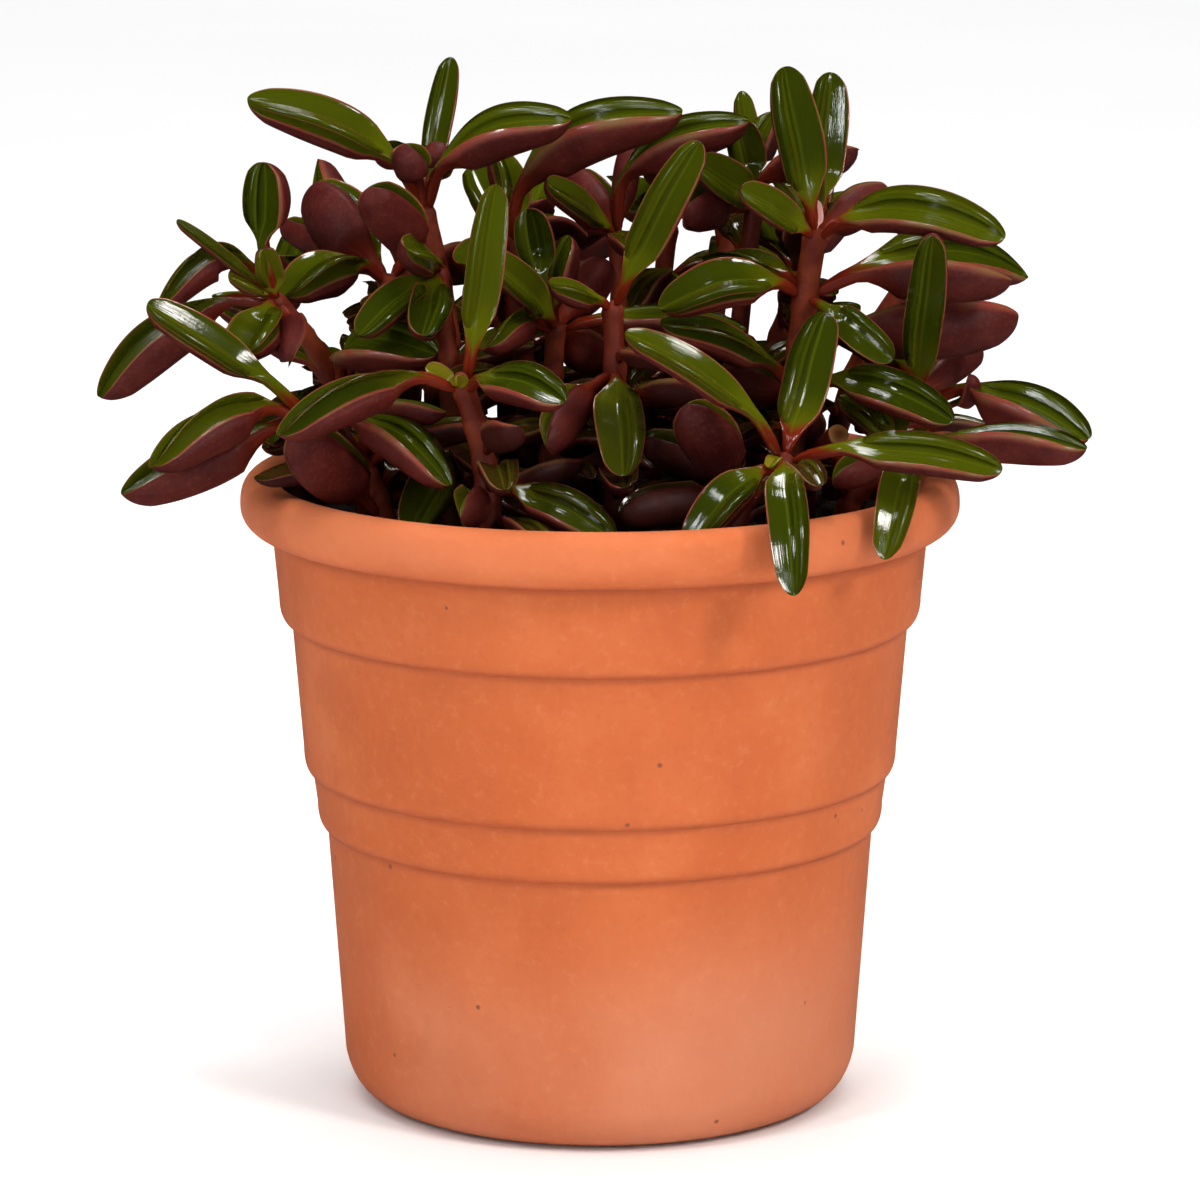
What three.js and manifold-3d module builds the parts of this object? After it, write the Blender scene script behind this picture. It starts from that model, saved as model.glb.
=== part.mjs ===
// Potted ruby glow peperomia in a stepped terracotta pot.
// Millimetres, +Z up. The origin is the middle of the pot's base, and the viewer stands at -Y.
import * as THREE from 'three';
import { mergeVertices } from 'three/addons/utils/BufferGeometryUtils.js';
import Module from 'manifold-3d';

const wasm = await Module();
wasm.setup();

// Driving sizes of the pot, from its foot upwards. Each band of the wall overhangs the one below it.
const POT = {
  height: 115,
  rimRadius: 65,
  mouthRadius: 57.5,
  footRadius: 38.9,
  footCurve: 7.9,
  floor: 8,
  innerFootRadius: 37,
  segments: 28,
};
const BANDS = [
  { from: 7.9, to: 50.2, lowRadius: 46.8, highRadius: 49.8 },
  { from: 50.4, to: 60.4, lowRadius: 51.6, highRadius: 52.4 },
  { from: 60.6, to: 88.1, lowRadius: 54.0, highRadius: 55.9 },
  { from: 88.3, to: 104.5, lowRadius: 58.2, highRadius: 59.3 },
];
const SHOULDER = 4.2;

// The soil fills the pot to below the rim and has a plain hole for each stem.
const SOIL = { level: 105, crown: 2, gap: 0.3, segments: 16, holeDepth: 12, holeGap: 0.35 };

// The look of the plant is placed from one fixed viewpoint in front of the pot.
// A place seen from it is a pixel in a frame of 1200 by 1200, and `focal` is in those pixels.
const VIEW = { distance: 1000, height: 290.5, tilt: 11.28, focal: 2338.4, across: 284.5, down: 907 };

// A leaf is a boat: a green upper face with a groove, thin margins and a deep rounded keel.
const LEAF = { stalk: 0.17, stalkRadius: 1.15, keel: 0.7, fold: 0.13, taper: 0.43, rootOut: 0.5 };
const BROADEST = 0.5 / (0.5 + LEAF.taper);
const STEM = { sides: 5, rings: 3, sink: 11 };

// The corners of a leaf's section, as angles for its margin, groove, margin and keel, and its rings.
// Leaves that the view hides have no groove here.
const SECTIONS = { seen: [30, 90, 150, 270], hidden: [30, 150, 270] };
const RINGS = { large: 5, small: 4, least: 3 };
const SMALL_BELOW = 6;
const CLEARANCE = 0.6;

const COLOURS = { terracotta: 0xd97c50, soil: 0x2e241d, leafy: [0x63702a, 0x6b5a2a, 0x74482e] };

const radians = THREE.MathUtils.degToRad;
const point = (x, y, z) => new THREE.Vector3(x, y, z);

// Seeded draws between 0 and 1, the same in every run.
let seed = 20261;
function draw() {
  seed = (seed * 48271) % 2147483647;
  return seed / 2147483647;
}
const between = (low, high) => low + (high - low) * draw();

// The straight line of sight through a pixel.
const eye = point(0, -VIEW.distance, VIEW.height);
function sight([across, down]) {
  const u = (across - VIEW.across) / VIEW.focal;
  const v = (VIEW.down - down) / VIEW.focal;
  const cos = Math.cos(radians(VIEW.tilt));
  const sin = Math.sin(radians(VIEW.tilt));
  return point(u, cos + v * sin, v * cos - sin);
}

// The pixel in which a place is seen, and the number of pixels that a millimetre takes there.
function seenAt(place) {
  const cos = Math.cos(radians(VIEW.tilt));
  const sin = Math.sin(radians(VIEW.tilt));
  const away = place.clone().sub(eye);
  const forward = away.y * cos - away.z * sin;
  const upward = away.y * sin + away.z * cos;
  const scale = VIEW.focal / forward;
  return { across: VIEW.across + away.x * scale, down: VIEW.down - upward * scale, scale };
}

// The place on a line of sight that lies `y` behind the pot's axis.
function atDepth(pixel, y) {
  const line = sight(pixel);
  return eye.clone().addScaledVector(line, (y + VIEW.distance) / line.y);
}

// The place on a line of sight that a leaf of this length reaches, on the near or the far side.
function atReach(start, pixel, long, far) {
  const line = sight(pixel).normalize();
  const nearest = start.clone().sub(eye).dot(line);
  const missed = eye.clone().addScaledVector(line, nearest).distanceTo(start);
  const spare = Math.sqrt(Math.max(0, long * long - missed * missed));
  return eye.clone().addScaledVector(line, nearest + (far ? spare : -spare));
}

// A leaf seen in the view: `turn` is 0 where its green face looks at the viewer,
// 90 where it looks up across the view and 180 where the keel does.
function faceSeen(start, tip, turn) {
  const along = tip.clone().sub(start).normalize();
  const toViewer = eye.clone().sub(start).normalize();
  const front = toViewer.addScaledVector(along, -toViewer.dot(along)).normalize();
  const side = front.clone().cross(along);
  if (side.z < 0) side.negate();
  return front.multiplyScalar(Math.cos(radians(turn))).addScaledVector(side, Math.sin(radians(turn)));
}

// The shape of a leaf: its arched spine, and its section at a place `u` from 0 to 1 along it.
function makeLeaf(start, tip, face, { hidden = false, arch = 3, ...shape }) {
  const middle = start.clone().lerp(tip, 0.5).addScaledVector(face, 2 * arch);
  const spine = new THREE.QuadraticBezierCurve3(start, middle, tip);
  const side = face.clone().cross(tip.clone().sub(start).normalize());
  const rings = hidden ? RINGS.least : RINGS[shape.wide < SMALL_BELOW ? 'small' : 'large'];
  const corners = hidden ? SECTIONS.hidden : SECTIONS.seen;
  return { fold: LEAF.fold, stalk: LEAF.stalk, keel: LEAF.keel, ...shape, spine, side, rings, corners };
}

function leafFrame(leaf, u) {
  const along = leaf.spine.getTangent(u);
  return { place: leaf.spine.getPoint(u), along, up: leaf.side.clone().cross(along).negate() };
}

function leafSection(leaf, u) {
  const blade = Math.min(1, Math.max(0, (u - leaf.stalk) / (1 - leaf.stalk)));
  const left = Math.max(0.012, 1 - blade);
  const swell = Math.sqrt(blade / BROADEST) * Math.pow(left / (1 - BROADEST), LEAF.taper);
  const thin = Math.min(LEAF.stalkRadius, leaf.wide * 0.16) * (0.3 + 0.7 * Math.min(1, u / 0.08));
  return {
    blend: Math.min(1, blade / 0.25),
    thin,
    half: thin + (leaf.wide / 2 - thin) * swell,
    keel: thin + (leaf.wide * leaf.keel - thin) * swell,
    groove: leaf.wide * leaf.fold * swell,
  };
}

// A point of the section at an angle from the right: 30 and 150 are the margins,
// 90 is the groove and 270 is the keel. `rim` is 1 on the skin and 0 at the core.
function sectionPoint({ blend, thin, half, keel, groove }, angle, rim) {
  let across;
  let up;
  if (angle >= 30 && angle <= 150) {
    across = half * (90 - angle) / 60;
    up = -groove * (1 - Math.pow(Math.abs(90 - angle) / 60, 1.6));
  } else {
    const below = radians(((angle + 360) % 360 - 270) * 0.75);
    across = half * Math.sin(below);
    up = -keel * Math.pow(Math.max(0, Math.cos(below)), 0.8);
  }
  const core = -(groove + keel) / 2;
  const round = radians(angle);
  const flat = { across: across * rim, up: core + (up - core) * rim };
  return {
    across: flat.across * blend + thin * Math.cos(round) * rim * (1 - blend),
    up: flat.up * blend + thin * Math.sin(round) * rim * (1 - blend),
  };
}

// A cylinder of unit size, bent to a course: `course` gives the place of each of its points
// from the share along it, the number of its side and the share out from its core.
function bent(sides, rings, course) {
  const blank = new THREE.CylinderGeometry(1, 1, 1, sides, rings);
  blank.deleteAttribute('normal');
  blank.deleteAttribute('uv');
  const shape = mergeVertices(blank, 1e-4);
  const spots = shape.attributes.position;
  for (let i = 0; i < spots.count; i += 1) {
    const along = Math.min(1, Math.max(0, spots.getY(i) + 0.5));
    const rim = Math.min(1, Math.round(Math.hypot(spots.getX(i), spots.getZ(i))));
    const turn = Math.atan2(spots.getX(i), spots.getZ(i)) / (2 * Math.PI);
    const place = course(along, (Math.round(turn * sides) + sides) % sides, rim);
    spots.setXYZ(i, place.x, place.y, place.z);
  }
  return shape;
}

function leafGeometry(leaf) {
  return bent(leaf.corners.length, leaf.rings, (along, corner, rim) => {
    const u = 1 - Math.pow(1 - along, 1.3);
    const { place, along: course, up } = leafFrame(leaf, u);
    const section = leafSection(leaf, u);
    const spot = sectionPoint(section, leaf.corners[corner], rim);
    place.addScaledVector(leaf.side, spot.across).addScaledVector(up, spot.up);
    if (rim === 0 && along > 0.5) place.addScaledVector(course, section.half * 0.55);
    return place;
  });
}

// Stems stand upright in the soil, then lean over to their tops.
function makeStem({ root, top, thick, cut = false }) {
  const [x, y] = root;
  const tip = Array.isArray(top) ? point(...top) : atDepth(top.seen, top.deep);
  const foot = point(x, y, SOIL.level + 3);
  const bend = point(x, y, foot.z + (tip.z - foot.z) * 0.55);
  return { thick, cut, foot, course: new THREE.QuadraticBezierCurve3(foot, bend, tip) };
}

function stemRadius(stem, share) {
  return (stem.thick / 2) * (1.1 - 0.14 * share);
}

function stemGeometry(stem) {
  const upright = point(stem.foot.x, stem.foot.y, SOIL.level - STEM.sink);
  return bent(STEM.sides, STEM.rings + 1, (along, corner, rim) => {
    const share = Math.round(along * (STEM.rings + 1) - 1) / STEM.rings;
    const around = 2 * Math.PI * corner / STEM.sides;
    if (share < 0) {
      const out = stemRadius(stem, 0) * rim;
      return upright.clone().add(point(Math.sin(around) * out, -Math.cos(around) * out, 0));
    }
    const forward = stem.course.getTangent(share);
    const right = point(0, -1, 0).cross(forward).normalize();
    const back = forward.clone().cross(right);
    const out = stemRadius(stem, share) * rim;
    const dome = share === 1 && rim === 0 && !stem.cut ? stem.thick * 0.55 : 0;
    return stem.course.getPoint(share)
      .addScaledVector(forward, dome)
      .addScaledVector(right, -Math.sin(around) * out)
      .addScaledVector(back, Math.cos(around) * out);
  });
}

// Beads stand for a leaf or a stem where its distance from its neighbours is tested.
function leafBeads(leaf) {
  const beads = [];
  for (let i = 2; i <= 8; i += 1) {
    const u = i / 8;
    const { place, up } = leafFrame(leaf, u);
    const { half, keel } = leafSection(leaf, u);
    const size = Math.min(half, keel) * 0.62;
    const spots = [[0, -keel * 0.62], [0, -keel * 0.25], [half - size, -keel * 0.3], [size - half, -keel * 0.3]];
    for (const [across, high] of spots) {
      const middle = place.clone().addScaledVector(leaf.side, across).addScaledVector(up, high);
      beads.push({ middle, size, share: u });
    }
  }
  return beads;
}

function stemBeads(stem) {
  const beads = [];
  for (let i = 0; i <= 12; i += 1) {
    beads.push({ middle: stem.course.getPoint(i / 12), size: stemRadius(stem, i / 12), share: i / 12 });
  }
  return beads;
}

// How deep a bead reaches into the pot's wall and rim, or into the soil.
function sunkInPot({ middle, size }) {
  const out = Math.hypot(middle.x, middle.y);
  const pastWall = Math.max(out - POT.rimRadius, POT.mouthRadius - out, 0);
  const pastRim = Math.max(middle.z - POT.height, 0);
  const toWall = size + CLEARANCE - Math.hypot(pastWall, pastRim);
  const toSoil = out < POT.mouthRadius ? SOIL.level + SOIL.crown * 0.8 + size - middle.z : 0;
  return Math.max(0, toWall, toSoil);
}

// How far a leaf reaches into what already grows: other stems in full, its own stem's leaves
// only in their outer parts, which makes the plant open out.
function crowding(beads, stem) {
  let worst = 0;
  for (const bead of beads) {
    worst = Math.max(worst, sunkInPot(bead));
    for (const other of grown) {
      const own = other.stem === stem;
      if (own && (bead.share < 0.4 || other.share < 0.4)) continue;
      const room = (bead.size + other.size) * (own ? 0.75 : 1) + (own ? 0 : CLEARANCE);
      worst = Math.max(worst, room - bead.middle.distanceTo(other.middle));
    }
  }
  return worst;
}

// The top of the crown as seen in the view, and the open places between leaves:
// leaves that the view doesn't show stay out of both.
const CROWN = [
  [92, 800], [112, 778], [140, 768], [165, 735], [190, 722], [235, 708], [300, 702],
  [345, 712], [362, 695], [386, 697], [402, 738], [440, 748], [462, 775], [470, 822], [486, 836],
];
const OPEN_SPOTS = [
  [189, 765, 6], [169, 788, 6], [202, 736, 4], [217, 744, 6], [243, 737, 7], [281, 724, 8], [289, 781, 3],
  [317, 757, 5], [351, 786, 7], [395, 768, 14], [345, 722, 6], [384, 815, 3], [414, 829, 3], [445, 778, 9],
  [140, 812, 10], [120, 810, 6], [385, 838, 5], [452, 862, 7],
];

function showsWhereOpen({ middle, size }) {
  const { across, down, scale } = seenAt(middle);
  const reach = size * scale;
  const next = CROWN.findIndex(([x]) => x > across);
  if (next < 1) return true;
  const [x0, y0] = CROWN[next - 1];
  const [x1, y1] = CROWN[next];
  const edge = y0 + (y1 - y0) * (across - x0) / (x1 - x0);
  if (down - reach < edge) return true;
  return OPEN_SPOTS.some(([x, y, radius]) => Math.hypot(across - x, down - y) < radius + reach);
}

// A leaf that isn't seen never stands in front of one that is.
function coversSeen({ middle, size }) {
  const { across, down, scale } = seenAt(middle);
  return seenBeads.some((bead) => {
    const apart = Math.hypot(across - bead.across, down - bead.down);
    return scale > bead.scale && apart < (size + bead.size) * scale * 0.85;
  });
}

// Roots start a little out from the stem's middle, so that the stalks of a whorl part inside it.
function rootOf(stem, at, towards) {
  const middle = stem.course.getPoint(at);
  return middle.addScaledVector(towards.clone().sub(middle).normalize(), (stem.thick / 2) * LEAF.rootOut);
}

// A leaf that is seen keeps its tip on its line of sight, and takes the first length that is clear.
const LENGTHS = [1, 0.97, 1.03, 0.94, 1.06, 0.91, 1.1, 0.88, 1.14, 0.85, 1.18, 0.82, 1.22];
function placeSeen(stem, at, { tip, long, turn, far, ...shape }) {
  let best;
  for (const share of LENGTHS) {
    const end = atReach(stem.course.getPoint(at), tip, long * share, far);
    const start = rootOf(stem, at, end);
    const leaf = makeLeaf(start, end, faceSeen(start, end, turn), shape);
    const beads = leafBeads(leaf);
    const worst = crowding(beads, stem.name);
    if (!best || worst < best.worst - 0.05) best = { leaf, beads, worst };
    if (worst === 0) break;
  }
  return best;
}

// A leaf that isn't seen takes the first free direction of a few draws, or isn't grown.
const TRIES = 24;
function placeHidden(stem, at, bearing, pitch, scale = 1) {
  for (let i = 0; i < TRIES; i += 1) {
    const heading = radians(bearing + between(-26, 26) + i * 9 * (i % 2 ? 1 : -1));
    const rise = radians(between(pitch - 22, pitch + 22));
    const long = between(25, 35) * scale - i * 0.3;
    const wide = between(7.8, 10) * scale - i * 0.06;
    const arch = between(2, 6);
    const roll = radians(between(-22, 22));
    const along = point(Math.cos(heading) * Math.cos(rise), Math.sin(heading) * Math.cos(rise), Math.sin(rise));
    const up = point(0, 0, 1).addScaledVector(along, -along.z).normalize();
    const face = up.multiplyScalar(Math.cos(roll)).addScaledVector(up.clone().cross(along), Math.sin(roll));
    const tip = stem.course.getPoint(at).addScaledVector(along, long);
    const leaf = makeLeaf(rootOf(stem, at, tip), tip, face, { wide, arch, hidden: true });
    const beads = leafBeads(leaf);
    if (beads.some(showsWhereOpen) || beads.some(coversSeen)) continue;
    if (crowding(beads, stem.name) > 0) continue;
    return { leaf, beads };
  }
  return null;
}

// The stems, from the left to the right and from the front to the back. `at` is a whorl's share
// along its stem. `more` lists the bearings of leaves that the view hides: 0 is right, 90 is back.
const STEMS = [
  {
    name: 'left_low', root: [-38, -24], thick: 3.7, top: { seen: [166, 834], deep: -27 },
    whorls: [
      {
        at: 1,
        leaves: [
          { tip: [98, 784], long: 37, wide: 7, turn: 38, arch: 2.5, stalk: 0.32 },
          { tip: [99, 849], long: 33, wide: 12, turn: 99, arch: 7.5 },
          { tip: [87, 861], long: 36, wide: 11.6, turn: 113, arch: 3.5 },
          { tip: [221, 857], long: 30, wide: 9.4, turn: 68, arch: 6 },
        ],
        more: [150],
      },
      { at: 0.1, leaves: [{ tip: [158, 838], long: 24, wide: 11.5, turn: 172, arch: 1, keel: 0.35 }], more: [] },
    ],
  },
  {
    name: 'left_outer', root: [-42, -6], thick: 3.5, top: { seen: [150, 783], deep: -12 },
    whorls: [
      {
        at: 1,
        leaves: [
          { tip: [144, 727], long: 26, wide: 8.6, turn: -42, arch: 2, stalk: 0.47 },
          { tip: [109, 749], long: 25, wide: 2.8, turn: 60, arch: 1 },
          { tip: [101, 782], long: 24, wide: 9.4, turn: 97, arch: 10 },
          { tip: [131, 771], long: 11, wide: 4, turn: 50, arch: 1 },
          { tip: [145, 762], long: 12, wide: 5, turn: 5, arch: 0.5 },
          { tip: [77, 820], long: 37, wide: 11.6, turn: 101, arch: 7, far: true },
          { tip: [136, 802], long: 18, wide: 9.6, turn: 44, arch: 2, fold: 0.3 },
          { tip: [157, 806], long: 19, wide: 8.2, turn: 128, arch: 2, keel: 0.5 },
        ],
        more: [70, 120],
      },
      {
        at: 0.5,
        leaves: [
          { tip: [214, 803], long: 27, wide: 12, turn: 76, arch: 10 },
          { tip: [172, 803], long: 9, wide: 5.5, turn: 30, arch: 1 },
        ],
        more: [110],
      },
    ],
  },
  {
    name: 'left_back', root: [-34, 8], thick: 3.7, top: { seen: [196, 775], deep: 6 },
    whorls: [
      {
        at: 1,
        leaves: [
          { tip: [154, 778], long: 27, wide: 11, turn: 80, arch: 6 },
          { tip: [166, 737], long: 25, wide: 13, turn: 158, arch: 2, keel: 0.55, far: true },
          { tip: [166, 727], long: 33, wide: 9, turn: -52, arch: 4, far: true },
          { tip: [154, 751], long: 29, wide: 6.5, turn: 150, arch: 2, far: true },
        ],
        more: [60, 130],
      },
    ],
  },
  {
    name: 'left_middle', root: [-26, -15], thick: 3.7, top: { seen: [217, 771], deep: -10 },
    whorls: [
      {
        at: 1,
        leaves: [
          { tip: [189, 736], long: 24, wide: 10, turn: 172, arch: 2, keel: 0.5 },
          { tip: [205, 760], long: 14, wide: 7.4, turn: 84, arch: 2 },
          { tip: [185, 795], long: 25, wide: 6.6, turn: 26, arch: 3 },
          { tip: [211, 795], long: 20, wide: 7.6, turn: 0, arch: 2, fold: 0.28 },
        ],
        more: [100],
      },
      { at: 0.3, leaves: [{ tip: [206, 877], long: 27, wide: 9, turn: 0, arch: 3, fold: 0.3 }], more: [] },
    ],
  },
  {
    name: 'left_tall', root: [-25, -1], thick: 3.7, top: { seen: [212, 746], deep: 0 },
    whorls: [
      {
        at: 1,
        leaves: [
          { tip: [140, 698], long: 38, wide: 9.6, turn: 56, arch: 7.3, stalk: 0.25 },
          { tip: [222, 682], long: 30, wide: 5.2, turn: 15, arch: 1.5, far: true },
          { tip: [193, 722], long: 21, wide: 7, turn: 62, arch: 7, far: true },
          { tip: [204, 718], long: 15, wide: 7, turn: 168, arch: 1, stalk: 0.48 },
          { tip: [218, 718], long: 16, wide: 7, turn: 168, arch: 1, stalk: 0.48, far: true },
          { tip: [270, 706], long: 34, wide: 11, turn: 75, arch: 8.2, stalk: 0.18 },
        ],
        more: [80, 140],
      },
    ],
  },
  {
    name: 'front_left', root: [-19, -37], thick: 4.1, top: { seen: [228, 820], deep: -36 },
    whorls: [
      {
        at: 1,
        leaves: [
          { tip: [241, 736], long: 36, wide: 6.8, turn: -10, arch: 1.5 },
          { tip: [152, 836], long: 35, wide: 11, turn: 88, arch: 6.5 },
          { tip: [268, 823], long: 25, wide: 8.4, turn: 55, arch: 4.5 },
          { tip: [213, 810], long: 8, wide: 3.6, turn: 20, arch: 0.5 },
          { tip: [226, 814], long: 5, wide: 2.8, turn: 0, arch: 0.3 },
        ],
        more: [],
      },
      {
        at: 0.35,
        leaves: [
          { tip: [289, 880], long: 25, wide: 8, turn: 42, arch: 3.5 },
          { tip: [226, 872], long: 13, wide: 7.5, turn: 150, arch: 1.5 },
        ],
        more: [],
      },
    ],
  },
  {
    name: 'middle_left', root: [-9, -8], thick: 3.7, top: { seen: [266, 795], deep: -8 },
    whorls: [
      {
        at: 1,
        leaves: [
          { tip: [255, 746], long: 23, wide: 7, turn: -12, arch: 1, fold: 0.5, stalk: 0.48 },
          { tip: [238, 763], long: 27, wide: 6.4, turn: 32, arch: 3 },
          { tip: [271, 757], long: 18, wide: 6.5, turn: 60, arch: 2 },
          { tip: [286, 768], long: 20, wide: 8, turn: 152, arch: 1.5, far: true },
          { tip: [283, 806], long: 16, wide: 8, turn: 150, arch: 1, far: true },
          { tip: [238, 800], long: 22, wide: 8, turn: 110, arch: 4 },
        ],
        more: [60],
      },
    ],
  },
  {
    name: 'middle_tall', root: [-13, 10], thick: 3.7, top: { seen: [247, 760], deep: 9 },
    whorls: [
      {
        at: 1,
        leaves: [
          { tip: [316, 703], long: 41, wide: 13.2, turn: 80, arch: 11.5, stalk: 0.15 },
          { tip: [232, 727], long: 22, wide: 7, turn: 10, arch: 1, far: true },
          { tip: [243, 719], long: 25, wide: 7.4, turn: 45, arch: 3, far: true },
        ],
        more: [110, 60],
      },
    ],
  },
  {
    name: 'front_middle', root: [3, -23], thick: 3.9, top: { seen: [290, 787], deep: -20 },
    whorls: [
      {
        at: 1,
        leaves: [
          { tip: [325, 718], long: 36, wide: 7.4, turn: 18, arch: 2.5 },
          { tip: [265, 775], long: 14, wide: 5.6, turn: 74, arch: 1.5 },
        ],
        more: [],
      },
      {
        at: 0.72,
        leaves: [
          { tip: [294, 853], long: 27, wide: 8.8, turn: 2, arch: 3.5 },
          { tip: [262, 842], long: 26, wide: 8.4, turn: 152, arch: 3, keel: 0.5 },
        ],
        more: [],
      },
    ],
  },
  {
    name: 'middle_back', root: [4, 9], thick: 3, top: { seen: [291, 758], deep: 12 },
    whorls: [
      {
        at: 1,
        leaves: [
          { tip: [264, 733], long: 23, wide: 6, turn: 60, arch: 2 },
          { tip: [274, 731], long: 22, wide: 9.4, turn: 164, arch: 2, keel: 0.5, far: true },
          { tip: [299, 712], long: 24, wide: 5, turn: 172, arch: 1, far: true },
          { tip: [344, 707], long: 36, wide: 10.4, turn: 78, arch: 9.3, stalk: 0.26 },
        ],
        more: [110],
      },
    ],
  },
  {
    name: 'front_right_low', root: [24, -27], thick: 3.5, top: { seen: [346, 862], deep: -26 },
    whorls: [
      {
        at: 1,
        leaves: [
          { tip: [321, 827], long: 25, wide: 10.6, turn: 180, arch: 0.5, keel: 0.45 },
          { tip: [304, 840], long: 21, wide: 8, turn: 140, arch: 2, far: true },
          { tip: [294, 871], long: 24, wide: 8, turn: 172, arch: 1.5, keel: 0.55 },
        ],
        more: [],
      },
    ],
  },
  {
    name: 'front_right', root: [31, -38], thick: 3.9, top: { seen: [361, 850], deep: -40 },
    whorls: [
      {
        at: 1,
        leaves: [
          { tip: [297, 796], long: 37, wide: 6.6, turn: 48, arch: 5.2, stalk: 0.26 },
          { tip: [378, 789], long: 29, wide: 8.4, turn: 8, arch: 1.5, stalk: 0.08, far: true },
          { tip: [365, 903], long: 33, wide: 7.2, turn: 0, arch: 8 },
          { tip: [322, 882], long: 25, wide: 7.8, turn: 36, arch: 4 },
          { tip: [450, 852], long: 38, wide: 8.2, turn: 46, arch: 4.8, stalk: 0.26, keel: 0.6 },
          { tip: [355, 851], long: 6, wide: 3, turn: 70, arch: 1.5 },
        ],
        more: [],
      },
    ],
  },
  {
    name: 'right_tall', root: [34, -11], thick: 4.5, top: { seen: [374, 757], deep: -12 },
    whorls: [
      {
        at: 1,
        leaves: [
          { tip: [362, 687], long: 31, wide: 8.6, turn: 14, arch: 2 },
          { tip: [381, 689], long: 31, wide: 7.8, turn: -12, arch: 1.5, far: true },
          { tip: [373, 720], long: 16, wide: 4, turn: 150, arch: 1 },
          { tip: [345, 736], long: 22, wide: 6, turn: 28, arch: 2 },
          { tip: [403, 738], long: 23, wide: 8, turn: 130, arch: 2.5, far: true },
          { tip: [451, 755], long: 37, wide: 9.8, turn: 52, arch: 8, stalk: 0.1, keel: 0.58 },
          { tip: [374, 741], long: 7, wide: 3, turn: 0, arch: 0.3 },
        ],
        more: [95],
      },
      {
        at: 0.78,
        leaves: [
          { tip: [461, 770], long: 46, wide: 9.6, turn: 44, arch: 9, far: true },
          { tip: [454, 773], long: 40, wide: 9.6, turn: 100, arch: 4, stalk: 0.24, far: true },
          { tip: [405, 806], long: 22, wide: 6.2, turn: 12, arch: 3.5, stalk: 0.3 },
          { tip: [311, 784], long: 27, wide: 9.2, turn: 44, arch: 6.5 },
          { tip: [329, 764], long: 24, wide: 7.4, turn: 70, arch: 4, far: true },
        ],
        more: [120],
      },
      { at: 0.6, leaves: [{ tip: [456, 789], long: 40, wide: 12.4, turn: 112, arch: 3, far: true }], more: [] },
      {
        at: 0.42,
        leaves: [
          { tip: [339, 815], long: 24, wide: 9, turn: 160, arch: 2, far: true },
          { tip: [371, 838], long: 16, wide: 8, turn: 150, arch: 1, far: true },
          { tip: [312, 791], long: 29, wide: 8.2, turn: 76, arch: 4.5 },
          { tip: [430, 831], long: 31, wide: 8.2, turn: 42, arch: 7, stalk: 0.25 },
        ],
        more: [100],
      },
    ],
  },
  {
    name: 'right_back', root: [24, 9], thick: 3.5, top: { seen: [349, 744], deep: 12 },
    whorls: [
      {
        at: 1,
        leaves: [
          { tip: [344, 696], long: 22, wide: 4.6, turn: 25, arch: 1, far: true },
          { tip: [343, 709], long: 18, wide: 7, turn: 10, arch: 2, fold: 0.3, stalk: 0.35 },
          { tip: [355, 705], long: 19, wide: 7, turn: 50, arch: 3, stalk: 0.35 },
          { tip: [327, 725], long: 21, wide: 7.6, turn: 25, arch: 3 },
          { tip: [320, 744], long: 20, wide: 9.6, turn: 164, arch: 2.5, keel: 0.5 },
        ],
        more: [60, 120],
      },
    ],
  },
  {
    name: 'right_outer', root: [46, 2], thick: 3.9, top: { seen: [416, 827], deep: -6 },
    whorls: [
      {
        at: 1,
        leaves: [
          { tip: [423, 757], long: 38, wide: 7, turn: 4, arch: 1.5, stalk: 0.12 },
          { tip: [441, 803], long: 27, wide: 7, turn: 100, arch: 3, far: true },
          { tip: [486, 838], long: 35, wide: 12.6, turn: 74, arch: 6.3, stalk: 0.26 },
          { tip: [438, 814], long: 15, wide: 4, turn: 70, arch: -3, stalk: 0.5 },
          { tip: [406, 812], long: 7, wide: 3.5, turn: 0, arch: 0.4 },
        ],
        more: [60, 110],
      },
    ],
  },
  { name: 'old_cut', root: [37, 0], thick: 4, cut: true, top: { seen: [384, 838], deep: -14 }, whorls: [] },
  {
    name: 'right_low', root: [43, -22], thick: 3.7, top: { seen: [412, 848], deep: -26 },
    whorls: [
      {
        at: 1,
        leaves: [
          { tip: [403, 888], long: 28, wide: 7, turn: 0, arch: 7 },
          { tip: [485, 843], long: 33, wide: 9.4, turn: 80, arch: 4.5 },
          { tip: [382, 856], long: 16, wide: 6.5, turn: 150, arch: 2 },
          { tip: [386, 822], long: 17, wide: 6, turn: 40, arch: 2, far: true },
          { tip: [398, 818], long: 16, wide: 7.5, turn: 30, arch: 2, far: true },
        ],
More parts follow.
